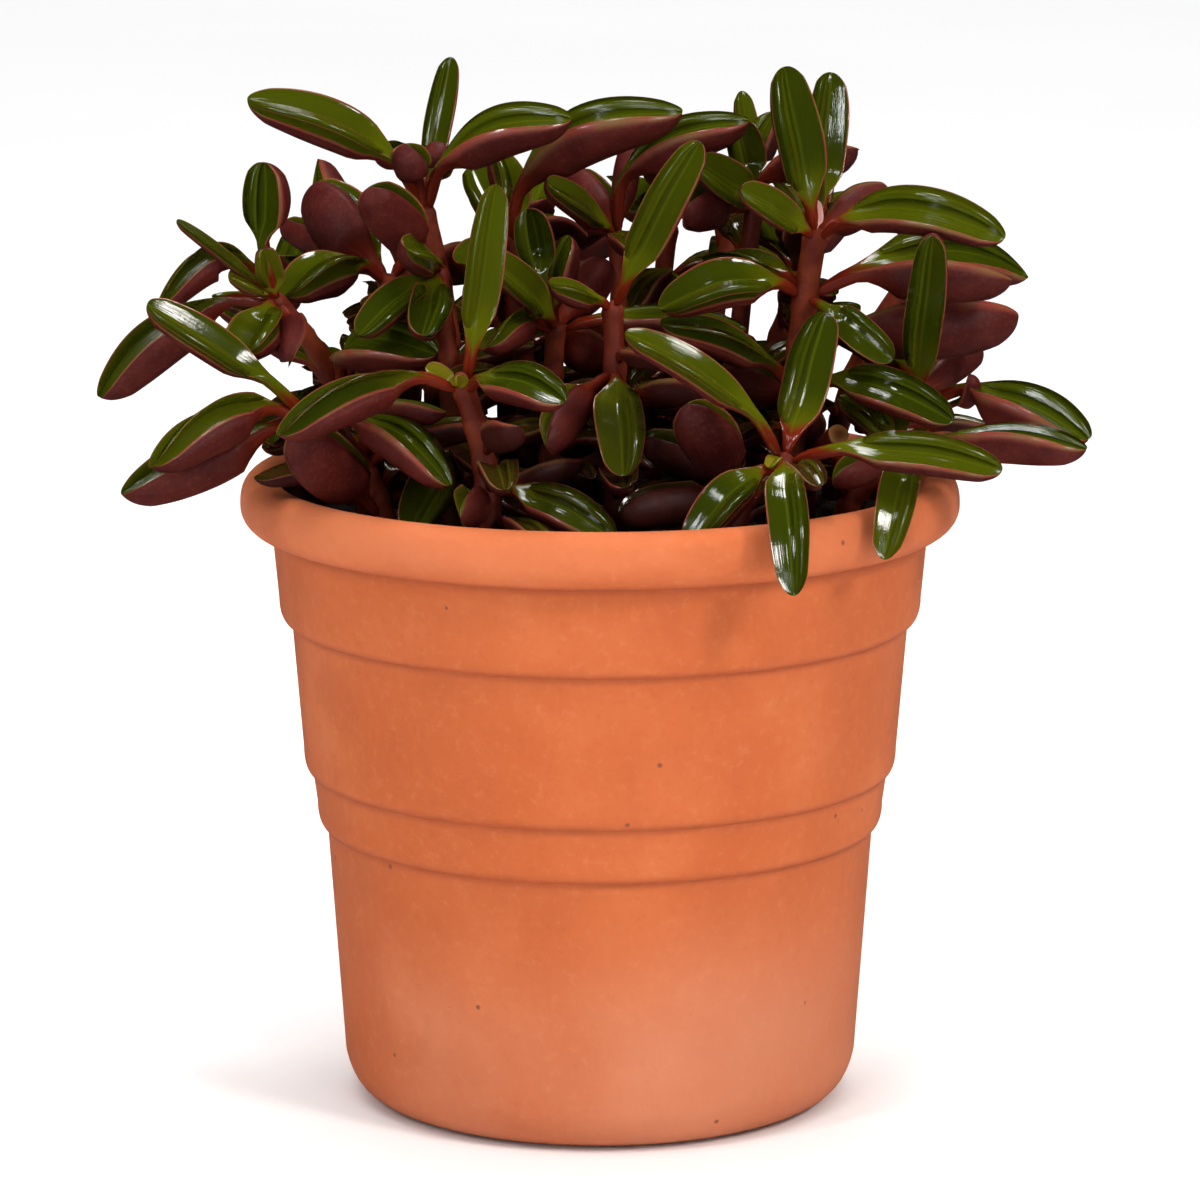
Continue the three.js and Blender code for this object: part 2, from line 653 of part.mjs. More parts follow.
        more: [],
      },
    ],
  },
  ...[
    { name: 'back_left_outer', root: [-44, 22], top: [-59, 30, 138], bearings: [175, 120, 215, 75, 150] },
    { name: 'back_left', root: [-30, 34], top: [-38, 47, 150], bearings: [140, 95, 190, 55, 115] },
    { name: 'back_middle', root: [-11, 43], top: [-14, 54, 143], bearings: [105, 60, 150, 20, 90] },
    { name: 'back_right', root: [10, 44], top: [13, 56, 151], bearings: [70, 120, 25, 160, 95] },
    { name: 'back_right_wide', root: [29, 36], top: [37, 46, 141], bearings: [40, 85, -5, 130, 60] },
    { name: 'back_right_outer', root: [43, 22], top: [58, 28, 147], bearings: [10, 55, -35, 100, 30] },
    { name: 'back_tall_left', root: [-17, 26], top: [-19, 30, 164], bearings: [170, 110, 60, 220, 140] },
    { name: 'back_tall_right', root: [19, 27], top: [26, 33, 160], bearings: [20, 75, 120, -30, 50] },
  ].map(({ name, root, top, bearings }) => ({
    name,
    root,
    thick: 3.7,
    top,
    whorls: [
      { at: 1, leaves: [], more: [...bearings, bearings[0] + 180], upright: true },
      { at: 0.5, leaves: [], more: bearings.slice(0, 2).map((bearing) => bearing + 25) },
    ],
  })),
];

// Every stem stands before any leaf grows, and the leaves that are seen come before those that aren't.
const stems = STEMS.map((plan) => ({ ...makeStem(plan), name: plan.name, whorls: plan.whorls, leaves: [] }));
const grown = stems.flatMap((stem) => stemBeads(stem).map((bead) => ({ ...bead, stem: stem.name })));
const standing = grown.length;
function keep(stem, placed) {
  if (!placed) return;
  stem.leaves.push(placed.leaf);
  grown.push(...placed.beads.map((bead) => ({ ...bead, stem: stem.name })));
}
for (const stem of stems) {
  for (const { at, leaves } of stem.whorls) {
    for (const seen of leaves) keep(stem, placeSeen(stem, at, seen));
  }
}
const seenBeads = grown.slice(standing).map((bead) => ({ ...seenAt(bead.middle), size: bead.size }));
for (const stem of stems) {
  for (const { at, more, upright } of stem.whorls) {
    more.forEach((bearing, i) => keep(stem, placeHidden(stem, at, bearing, upright ? 14 + i * 11 : 14)));
  }
}

// Lower down each stem carries smaller leaves, wherever the others leave room for them.
const LEVELS = [{ at: 0.55, count: 2 }, { at: 0.3, count: 2 }, { at: 0.12, count: 2 }, { at: 0.75, count: 1 }];
const GOLDEN = 137.5;
LEVELS.forEach(({ at, count }, level) => {
  stems.forEach((stem, i) => {
    for (let k = 0; k < count && !stem.cut; k += 1) {
      keep(stem, placeHidden(stem, at, GOLDEN * (i + 2 * level) + 150 * k - 90, 16, 0.78));
    }
  });
});

// Closed bodies for joining and cutting, and back.
function solid(geometry) {
  return new wasm.Manifold(new wasm.Mesh({
    numProp: 3,
    vertProperties: new Float32Array(geometry.attributes.position.array),
    triVerts: new Uint32Array(geometry.index.array),
  }));
}

function shapeOf(body) {
  const { vertProperties, triVerts } = body.getMesh();
  const shape = new THREE.BufferGeometry();
  shape.setAttribute('position', new THREE.BufferAttribute(new Float32Array(vertProperties), 3));
  shape.setIndex(new THREE.BufferAttribute(new Uint32Array(triVerts), 1));
  return shape;
}

function bare(geometry) {
  geometry.deleteAttribute('normal');
  geometry.deleteAttribute('uv');
  return mergeVertices(geometry, 1e-4);
}

// The pot's outline from the middle of its base, up the outside, over the rim and down the inside.
function potOutline() {
  const { footRadius, footCurve, rimRadius, height, mouthRadius, innerFootRadius, floor } = POT;
  const outline = new THREE.Path();
  outline.moveTo(0, 0);
  outline.lineTo(footRadius, 0);
  outline.quadraticCurveTo(footRadius + footCurve * 0.8, 0, BANDS[0].lowRadius, footCurve);
  BANDS.forEach(({ from, to, lowRadius, highRadius }, i) => {
    if (i > 0) {
      outline.lineTo(BANDS[i - 1].highRadius + 0.1, from);
      outline.quadraticCurveTo(lowRadius, from, lowRadius, from + SHOULDER);
    }
    outline.lineTo(highRadius, to);
  });
  outline.quadraticCurveTo(rimRadius - 0.6, 105.2, rimRadius, 108.8);
  outline.quadraticCurveTo(rimRadius + 0.4, 114.2, rimRadius - 3.2, height);
  outline.quadraticCurveTo(mouthRadius, height, mouthRadius, height - 3);
  outline.lineTo(innerFootRadius + 3, floor + 2.5);
  outline.lineTo(innerFootRadius, floor);
  outline.lineTo(0, floor);
  return outline.getPoints(2);
}

function innerRadius(z) {
  const low = { z: POT.floor + 2.5, radius: POT.innerFootRadius + 3 };
  const high = { z: POT.height - 3, radius: POT.mouthRadius };
  return low.radius + (high.radius - low.radius) * (z - low.z) / (high.z - low.z);
}

// Lathe profiles turn about the Y axis, and the parts stand along Z.
function turned(outline, segments) {
  return bare(new THREE.LatheGeometry(outline, segments).rotateX(Math.PI / 2));
}

// The soil's height above its level, mounded towards the middle and a little uneven.
function soilHeight(x, y) {
  const out = Math.hypot(x, y) / POT.mouthRadius;
  return SOIL.crown * (1 - out * out) * 0.6 + 0.5 * Math.sin(x * 0.21 + 1.3) * Math.cos(y * 0.18 - 0.4);
}

function soilBody() {
  const { level, gap, segments, holeDepth, holeGap } = SOIL;
  const bottom = POT.floor + gap;
  const outline = [
    new THREE.Vector2(0, bottom),
    new THREE.Vector2(POT.innerFootRadius - 0.2, bottom),
    new THREE.Vector2(innerRadius(bottom + 2.5) - gap * 1.8, bottom + 2.5),
    new THREE.Vector2(innerRadius(level) - gap * 2.2, level),
    ...[50, 38, 26, 13].map((radius) => new THREE.Vector2(radius, level + 0.001)),
    new THREE.Vector2(0, level + 0.001),
  ];
  const shape = turned(outline, segments);
  const spots = shape.attributes.position;
  for (let i = 0; i < spots.count; i += 1) {
    if (spots.getZ(i) < level - 0.01) continue;
    const edge = Math.hypot(spots.getX(i), spots.getY(i)) > 52;
    if (!edge) spots.setZ(i, level + soilHeight(spots.getX(i), spots.getY(i)));
  }
  let body = solid(shape);
  for (const stem of stems) {
    const radius = stemRadius(stem, 0) / Math.cos(Math.PI / STEM.sides) + holeGap;
    const hole = new THREE.CylinderGeometry(radius, radius, holeDepth + 8, STEM.sides);
    hole.rotateX(Math.PI / 2).translate(stem.foot.x, stem.foot.y, level - holeDepth + (holeDepth + 8) / 2);
    body = body.subtract(solid(bare(hole)));
  }
  return body;
}

const plant = new THREE.Group();
function addPart(name, geometry, color, roughness) {
  const part = new THREE.Mesh(geometry, new THREE.MeshStandardMaterial({ color, roughness, metalness: 0 }));
  part.name = name;
  plant.add(part);
}

addPart('pot', turned(potOutline(), POT.segments), COLOURS.terracotta, 0.85);
addPart('soil', shapeOf(soilBody()), COLOURS.soil, 1);
stems.forEach((stem, i) => {
  let body = solid(stemGeometry(stem));
  for (const leaf of stem.leaves) body = body.add(solid(leafGeometry(leaf)));
  addPart(`stem_${stem.name}`, shapeOf(body), COLOURS.leafy[i % COLOURS.leafy.length], 0.35);
});

export default plant;
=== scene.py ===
# The looks of the potted peperomia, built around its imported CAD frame.
# Sizes are millimetres until a mesh is made, and the part's frame is kept: +Z up, the viewer at -Y.
import math

import bpy
import numpy as np
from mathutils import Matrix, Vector


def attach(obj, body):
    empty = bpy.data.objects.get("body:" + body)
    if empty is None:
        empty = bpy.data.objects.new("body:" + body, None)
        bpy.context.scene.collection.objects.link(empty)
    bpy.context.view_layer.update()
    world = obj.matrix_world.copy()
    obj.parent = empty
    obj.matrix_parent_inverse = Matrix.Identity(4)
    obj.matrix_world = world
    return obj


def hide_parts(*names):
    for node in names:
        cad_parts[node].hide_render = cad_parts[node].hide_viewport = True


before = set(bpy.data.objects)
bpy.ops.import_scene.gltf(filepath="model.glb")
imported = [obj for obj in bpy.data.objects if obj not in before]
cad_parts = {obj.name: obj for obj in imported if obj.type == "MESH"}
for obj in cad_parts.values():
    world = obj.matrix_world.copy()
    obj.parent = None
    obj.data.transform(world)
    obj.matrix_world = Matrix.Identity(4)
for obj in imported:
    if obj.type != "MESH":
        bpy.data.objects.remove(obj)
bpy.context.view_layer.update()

# The pot's driving sizes. A band has its lowest and highest level, and its radius at each.
POT = {
    "height": 115.0,
    "rim_radius": 65.0,
    "mouth_radius": 57.5,
    "foot_radius": 38.9,
    "foot_curve": 7.9,
    "floor": 8.0,
    "inner_foot_radius": 37.0,
}
BANDS = [
    (7.9, 50.2, 46.8, 49.8),
    (50.4, 60.4, 51.6, 52.4),
    (60.6, 88.1, 54.0, 55.9),
    (88.3, 104.5, 58.2, 59.3),
]
SHOULDER = 4.2

# The soil's level at the wall, and how much higher it lies in the middle.
SOIL_LEVEL = 105.0
SOIL_CROWN = 2.0

# The camera's distance, height and tilt in degrees. In the photograph's pixels: its focal length,
# the pixel that it looks at, and the width of its frame.
VIEW = {"distance": 1000.0, "height": 290.5, "tilt": 11.28, "focal": 2338.4, "across": 284.5, "down": 907.0}
FRAME_WIDTH = 500.0

# A leaf's stalk as a share of its length, the stalk's radius, at most this share of the leaf's
# width, the depth of the keel and the groove as shares of that width, and the taper to the tip.
STALK = 0.17
STALK_RADIUS = 1.15
STALK_OF_WIDTH = 0.16
KEEL = 0.7
FOLD = 0.13
TAPER = 0.43
BROADEST = 0.5 / (0.5 + TAPER)

# A leaf starts this share of its stem's radius from the middle. A stem is sunk this deep in the
# soil, its curve starts this far above it, and is pulled upright to this share of its height.
ROOT_OUT = 0.5
SINK = 11.0
ABOVE_SOIL = 3
BEND_SHARE = 0.55

# The room between beads of different stems, and between beads and the pot. Beads of one stem may
# overlap to OWN_ROOM of their sizes, and up to NEAR_STEM of a leaf's length they aren't tested.
CLEARANCE = 0.6
OWN_ROOM = 0.75
NEAR_STEM = 0.4


def unit(v):
    return v / np.linalg.norm(v)


def vec(x, y, z):
    return np.array([x, y, z], dtype=float)


# Seeded draws between 0 and 1, the same as the part's.
seed = 20261


def draw():
    global seed
    seed = (seed * 48271) % 2147483647
    return seed / 2147483647


def between(low, high):
    return low + (high - low) * draw()


# The lines of sight.
EYE = vec(0, -VIEW["distance"], VIEW["height"])
COS_TILT = math.cos(math.radians(VIEW["tilt"]))
SIN_TILT = math.sin(math.radians(VIEW["tilt"]))


def sight(pixel):
    u = (pixel[0] - VIEW["across"]) / VIEW["focal"]
    v = (VIEW["down"] - pixel[1]) / VIEW["focal"]
    return vec(u, COS_TILT + v * SIN_TILT, v * COS_TILT - SIN_TILT)


def seen_at(places):
    """The pixels at which places are seen, and how many pixels a millimetre takes there."""
    away = places - EYE
    forward = away[:, 1] * COS_TILT - away[:, 2] * SIN_TILT
    upward = away[:, 1] * SIN_TILT + away[:, 2] * COS_TILT
    scale = VIEW["focal"] / forward
    return VIEW["across"] + away[:, 0] * scale, VIEW["down"] - upward * scale, scale


def at_depth(pixel, y):
    """The point at which a pixel's line of sight passes the depth y."""
    line = sight(pixel)
    return EYE + line * ((y + VIEW["distance"]) / line[1])


def at_reach(start, pixel, long, far):
    """The near or far point of a pixel's line of sight that is a given length from the start."""
    line = unit(sight(pixel))
    nearest = float(np.dot(start - EYE, line))
    missed = float(np.linalg.norm(EYE + line * nearest - start))
    spare = math.sqrt(max(0.0, long * long - missed * missed))
    return EYE + line * (nearest + (spare if far else -spare))


def face_seen(start, tip, turn):
    """The direction of a leaf's green face, turned from the viewer by some degrees."""
    along = unit(tip - start)
    viewer = unit(EYE - start)
    front = unit(viewer - along * np.dot(viewer, along))
    side = np.cross(front, along)
    if side[2] < 0:
        side = -side
    return front * math.cos(math.radians(turn)) + side * math.sin(math.radians(turn))


class Bend:
    """A quadratic curve through two ends, pulled by a third point."""

    def __init__(self, start, middle, end):
        self.start, self.middle, self.end = start, middle, end

    def at(self, t):
        t = np.asarray(t, dtype=float)[..., None]
        return (1 - t) ** 2 * self.start + 2 * (1 - t) * t * self.middle + t * t * self.end

    def heading(self, t):
        t = np.asarray(t, dtype=float)
        little = 0.0001
        ahead = self.at(np.minimum(1.0, t + little)) - self.at(np.maximum(0.0, t - little))
        return ahead / np.linalg.norm(ahead, axis=-1, keepdims=True)


# Leaves and stems as sizes, before any mesh is made.
def make_leaf(start, tip, face, wide, arch=3.0, fold=FOLD, stalk=STALK, keel=KEEL, hidden=False):
    return {
        "spine": Bend(start, (start + tip) / 2 + face * (2 * arch), tip),
        "side": np.cross(face, unit(tip - start)),
        "wide": wide,
        "fold": fold,
        "stalk": stalk,
        "keel": keel,
        "hidden": hidden,
        "long": float(np.linalg.norm(tip - start)),
    }


def leaf_frames(leaf, us):
    along = leaf["spine"].heading(us)
    return leaf["spine"].at(us), along, -np.cross(leaf["side"], along)


def leaf_sections(leaf, us, least=0.012):
    """The leaf's sections at shares of its length. Its stalk is round, and its blade a boat."""
    wide = leaf["wide"]
    blade = np.clip((us - leaf["stalk"]) / (1 - leaf["stalk"]), 0, 1)
    left = np.maximum(least, 1 - blade)
    swell = np.sqrt(blade / BROADEST) * (left / (1 - BROADEST)) ** TAPER
    neck = 0.3 + 0.7 * np.minimum(1, us / 0.08)
    thin = min(STALK_RADIUS, wide * STALK_OF_WIDTH) * neck
    return {
        "blend": np.minimum(1, blade / 0.25),
        "thin": thin,
        "swell": swell,
        "half": thin + (wide / 2 - thin) * swell,
        "keel": thin + (wide * leaf["keel"] - thin) * swell,
        "groove": wide * leaf["fold"] * swell,
    }


def make_stem(name, root, thick, top, whorls, cut=False):
    foot = vec(*root, SOIL_LEVEL + ABOVE_SOIL)
    bend = vec(*root, foot[2] + (top[2] - foot[2]) * BEND_SHARE)
    course = Bend(foot, bend, top)
    stem = {"name": name, "thick": thick, "cut": cut, "foot": foot, "course": course}
    return {**stem, "whorls": whorls, "leaves": []}


def stem_radius(stem, share):
    return stem["thick"] / 2 * (1.1 - 0.14 * share)


# Beads stand for leaves and stems in the test for room, four to each section of a leaf.
BEAD_SHARES = np.arange(2, 9) / 8
BEAD_SIZE = 0.62
BEAD_HIGH, BEAD_OUT = 0.25, 0.3
STEM_BEADS = 12
MOST_BEADS = 20000


def leaf_beads(leaf):
    place, _, up = leaf_frames(leaf, BEAD_SHARES)
    parts = leaf_sections(leaf, BEAD_SHARES)
    half, keel = parts["half"], parts["keel"]
    size = np.minimum(half, keel) * BEAD_SIZE
    zero = np.zeros_like(half)
    spots = [
        (zero, -keel * BEAD_SIZE),
        (zero, -keel * BEAD_HIGH),
        (half - size, -keel * BEAD_OUT),
        (size - half, -keel * BEAD_OUT),
    ]
    middles = [place + leaf["side"] * across[:, None] + up * high[:, None] for across, high in spots]
    return np.stack(middles, 1).reshape(-1, 3), np.repeat(size, 4), np.repeat(BEAD_SHARES, 4)


def stem_beads(stem):
    shares = np.arange(STEM_BEADS + 1) / STEM_BEADS
    return stem["course"].at(shares), stem_radius(stem, shares), shares


class Grown:
    """What already grows, as beads with their stem's number."""

    def __init__(self):
        self.count = 0
        self.middle = np.zeros((MOST_BEADS, 3))
        self.size = np.zeros(MOST_BEADS)
        self.share = np.zeros(MOST_BEADS)
        self.stem = np.zeros(MOST_BEADS, dtype=int)

    def add(self, beads, stem):
        middle, size, share = beads
        span = slice(self.count, self.count + len(size))
        self.middle[span], self.size[span], self.share[span], self.stem[span] = middle, size, share, stem
        self.count += len(size)


grown = Grown()


def sunk_in_pot(middle, size):
    """How far the deepest bead is inside the pot's wall or the soil."""
    out = np.hypot(middle[:, 0], middle[:, 1])
    past_wall = np.maximum(np.maximum(out - POT["rim_radius"], POT["mouth_radius"] - out), 0)
    past_rim = np.maximum(middle[:, 2] - POT["height"], 0)
    to_wall = size + CLEARANCE - np.hypot(past_wall, past_rim)
    to_soil = np.where(out < POT["mouth_radius"], SOIL_LEVEL + SOIL_CROWN * 0.8 + size - middle[:, 2], 0)
    return max(0.0, float(np.max(to_wall)), float(np.max(to_soil)))


def crowding(beads, stem):
    """How far the beads are inside what already grows, or inside the pot."""
    middle, size, share = beads
    worst = sunk_in_pot(middle, size)
    core = middle.mean(axis=0)
    reach = float(np.max(np.linalg.norm(middle - core, axis=1) + size)) + CLEARANCE
    n = grown.count
    close = np.linalg.norm(grown.middle[:n] - core, axis=1) - grown.size[:n] < reach
    if not np.any(close):
        return worst
    others, sizes, shares = grown.middle[:n][close], grown.size[:n][close], grown.share[:n][close]
    own = grown.stem[:n][close] == stem
    apart = np.linalg.norm(middle[:, None, :] - others[None], axis=2)
    room = (size[:, None] + sizes[None]) * np.where(own, OWN_ROOM, 1.0) + np.where(own, 0, CLEARANCE)
    into = room - apart
    into[own[None] & ((share[:, None] < NEAR_STEM) | (shares[None] < NEAR_STEM))] = -1
    return max(worst, float(np.max(into)))


# The crown's upper outline, and the places where the background shows through, each with its pixel
# and its radius in pixels. Hidden leaves stay clear of both.
CROWN = [
    (92, 800), (112, 778), (140, 768), (165, 735), (190, 722), (235, 708), (300, 702),
    (345, 712), (362, 695), (386, 697), (402, 738), (440, 748), (462, 775), (470, 822), (486, 836),
]
OPEN_SPOTS = [
    (189, 765, 6), (169, 788, 6), (202, 736, 4), (217, 744, 6), (243, 737, 7), (281, 724, 8), (289, 781, 3),
    (317, 757, 5), (351, 786, 7), (395, 768, 14), (345, 722, 6), (384, 815, 3), (414, 829, 3), (445, 778, 9),
    (140, 812, 10), (120, 810, 6), (385, 838, 5), (452, 862, 7),
]
HIDING = 0.85

# Where the beads of the leaves in view are seen. This fills once those leaves are placed.
seen = {}


def shows_where_open(middle, size):
    across, down, scale = seen_at(middle)
    for a, d, reach in zip(across, down, size * scale):
        ahead = next((i for i, (x, _) in enumerate(CROWN) if x > a), -1)
        if ahead < 1:
            return True
        (x0, y0), (x1, y1) = CROWN[ahead - 1], CROWN[ahead]
        if d - reach < y0 + (y1 - y0) * (a - x0) / (x1 - x0):
            return True
        if any(math.hypot(a - x, d - y) < radius + reach for x, y, radius in OPEN_SPOTS):
            return True
    return False


def covers_seen(middle, size):
    """Whether beads stand before a leaf in view and hide much of it."""
    across, down, scale = seen_at(middle)
    apart = np.hypot(across[:, None] - seen["across"], down[:, None] - seen["down"])
    near = scale[:, None] > seen["scale"]
    return bool(np.any(near & (apart < (size[:, None] + seen["size"]) * scale[:, None] * HIDING)))


def root_of(stem, at, towards):
    middle = stem["course"].at(at)
    return middle + unit(towards - middle) * (stem["thick"] / 2 * ROOT_OUT)


# A leaf that is seen keeps its line of sight, and tries these shares of its length until it has
# room. Another length is better only if it crowds the others less by BETTER_BY.
LENGTHS = [1, 0.97, 1.03, 0.94, 1.06, 0.91, 1.1, 0.88, 1.14, 0.85, 1.18, 0.82, 1.22]
BETTER_BY = 0.05


def place_seen(stem, number, at, plan):
    shape = {key: plan[key] for key in ("wide", "arch", "fold", "stalk", "keel") if key in plan}
    best = None
    for share in LENGTHS:
        end = at_reach(stem["course"].at(at), plan["tip"], plan["long"] * share, plan.get("far", False))
        start = root_of(stem, at, end)
        leaf = make_leaf(start, end, face_seen(start, end, plan["turn"]), **shape)
        beads = leaf_beads(leaf)
        worst = crowding(beads, number)
        if best is None or worst < best[2] - BETTER_BY:
            best = (leaf, beads, worst)
        if worst == 0:
            break
    best[0]["bud"] = plan.get("bud", 0)
    return best[:2]


# The sizes of a leaf that the view hides, and by how many degrees it may turn. Each further try
# turns it more to one side or the other, and makes it smaller.
TRIES = 24
HIDDEN = {
    "long": (25, 35), "wide": (7.8, 10), "arch": (2, 6),
    "swing": (-26, 26), "pitch": 22, "roll": (-22, 22),
}
EACH_TRY = {"turn": 9, "shorter": 0.3, "narrower": 0.06}


def place_hidden(stem, number, at, bearing, pitch, scale=1.0):
    for i in range(TRIES):
        aside = i * EACH_TRY["turn"] * (1 if i % 2 else -1)
        heading = math.radians(bearing + between(*HIDDEN["swing"]) + aside)
        rise = math.radians(between(pitch - HIDDEN["pitch"], pitch + HIDDEN["pitch"]))
        long = between(*HIDDEN["long"]) * scale - i * EACH_TRY["shorter"]
        wide = between(*HIDDEN["wide"]) * scale - i * EACH_TRY["narrower"]
        arch = between(*HIDDEN["arch"])
        roll = math.radians(between(*HIDDEN["roll"]))
        along = vec(math.cos(heading) * math.cos(rise), math.sin(heading) * math.cos(rise), math.sin(rise))
        face = unit(vec(0, 0, 1) - along * along[2]) * math.cos(roll)
        face = face + np.cross(face, along) * math.sin(roll)
        tip = stem["course"].at(at) + along * long
        leaf = make_leaf(root_of(stem, at, tip), tip, face, wide, arch, hidden=True)
        beads = leaf_beads(leaf)
        where = beads[:2]
        if not (shows_where_open(*where) or covers_seen(*where) or crowding(beads, number) > 0):
            return leaf, beads
    return None


def leaf(tip, long, wide, turn, arch, **more):
    """A leaf in view: its tip's pixel, its length and width, how many degrees its green face is
    turned from the viewer, and the height of its arch."""
    return {"tip": tip, "long": long, "wide": wide, "turn": turn, "arch": arch, **more}


def whorl(at, hidden, leaves, upright=False):
    """Leaves at a share of a stem's length, the hidden ones by bearing: 0 is right and 90 is back."""
    return {"at": at, "hidden": hidden, "leaves": leaves, "upright": upright}


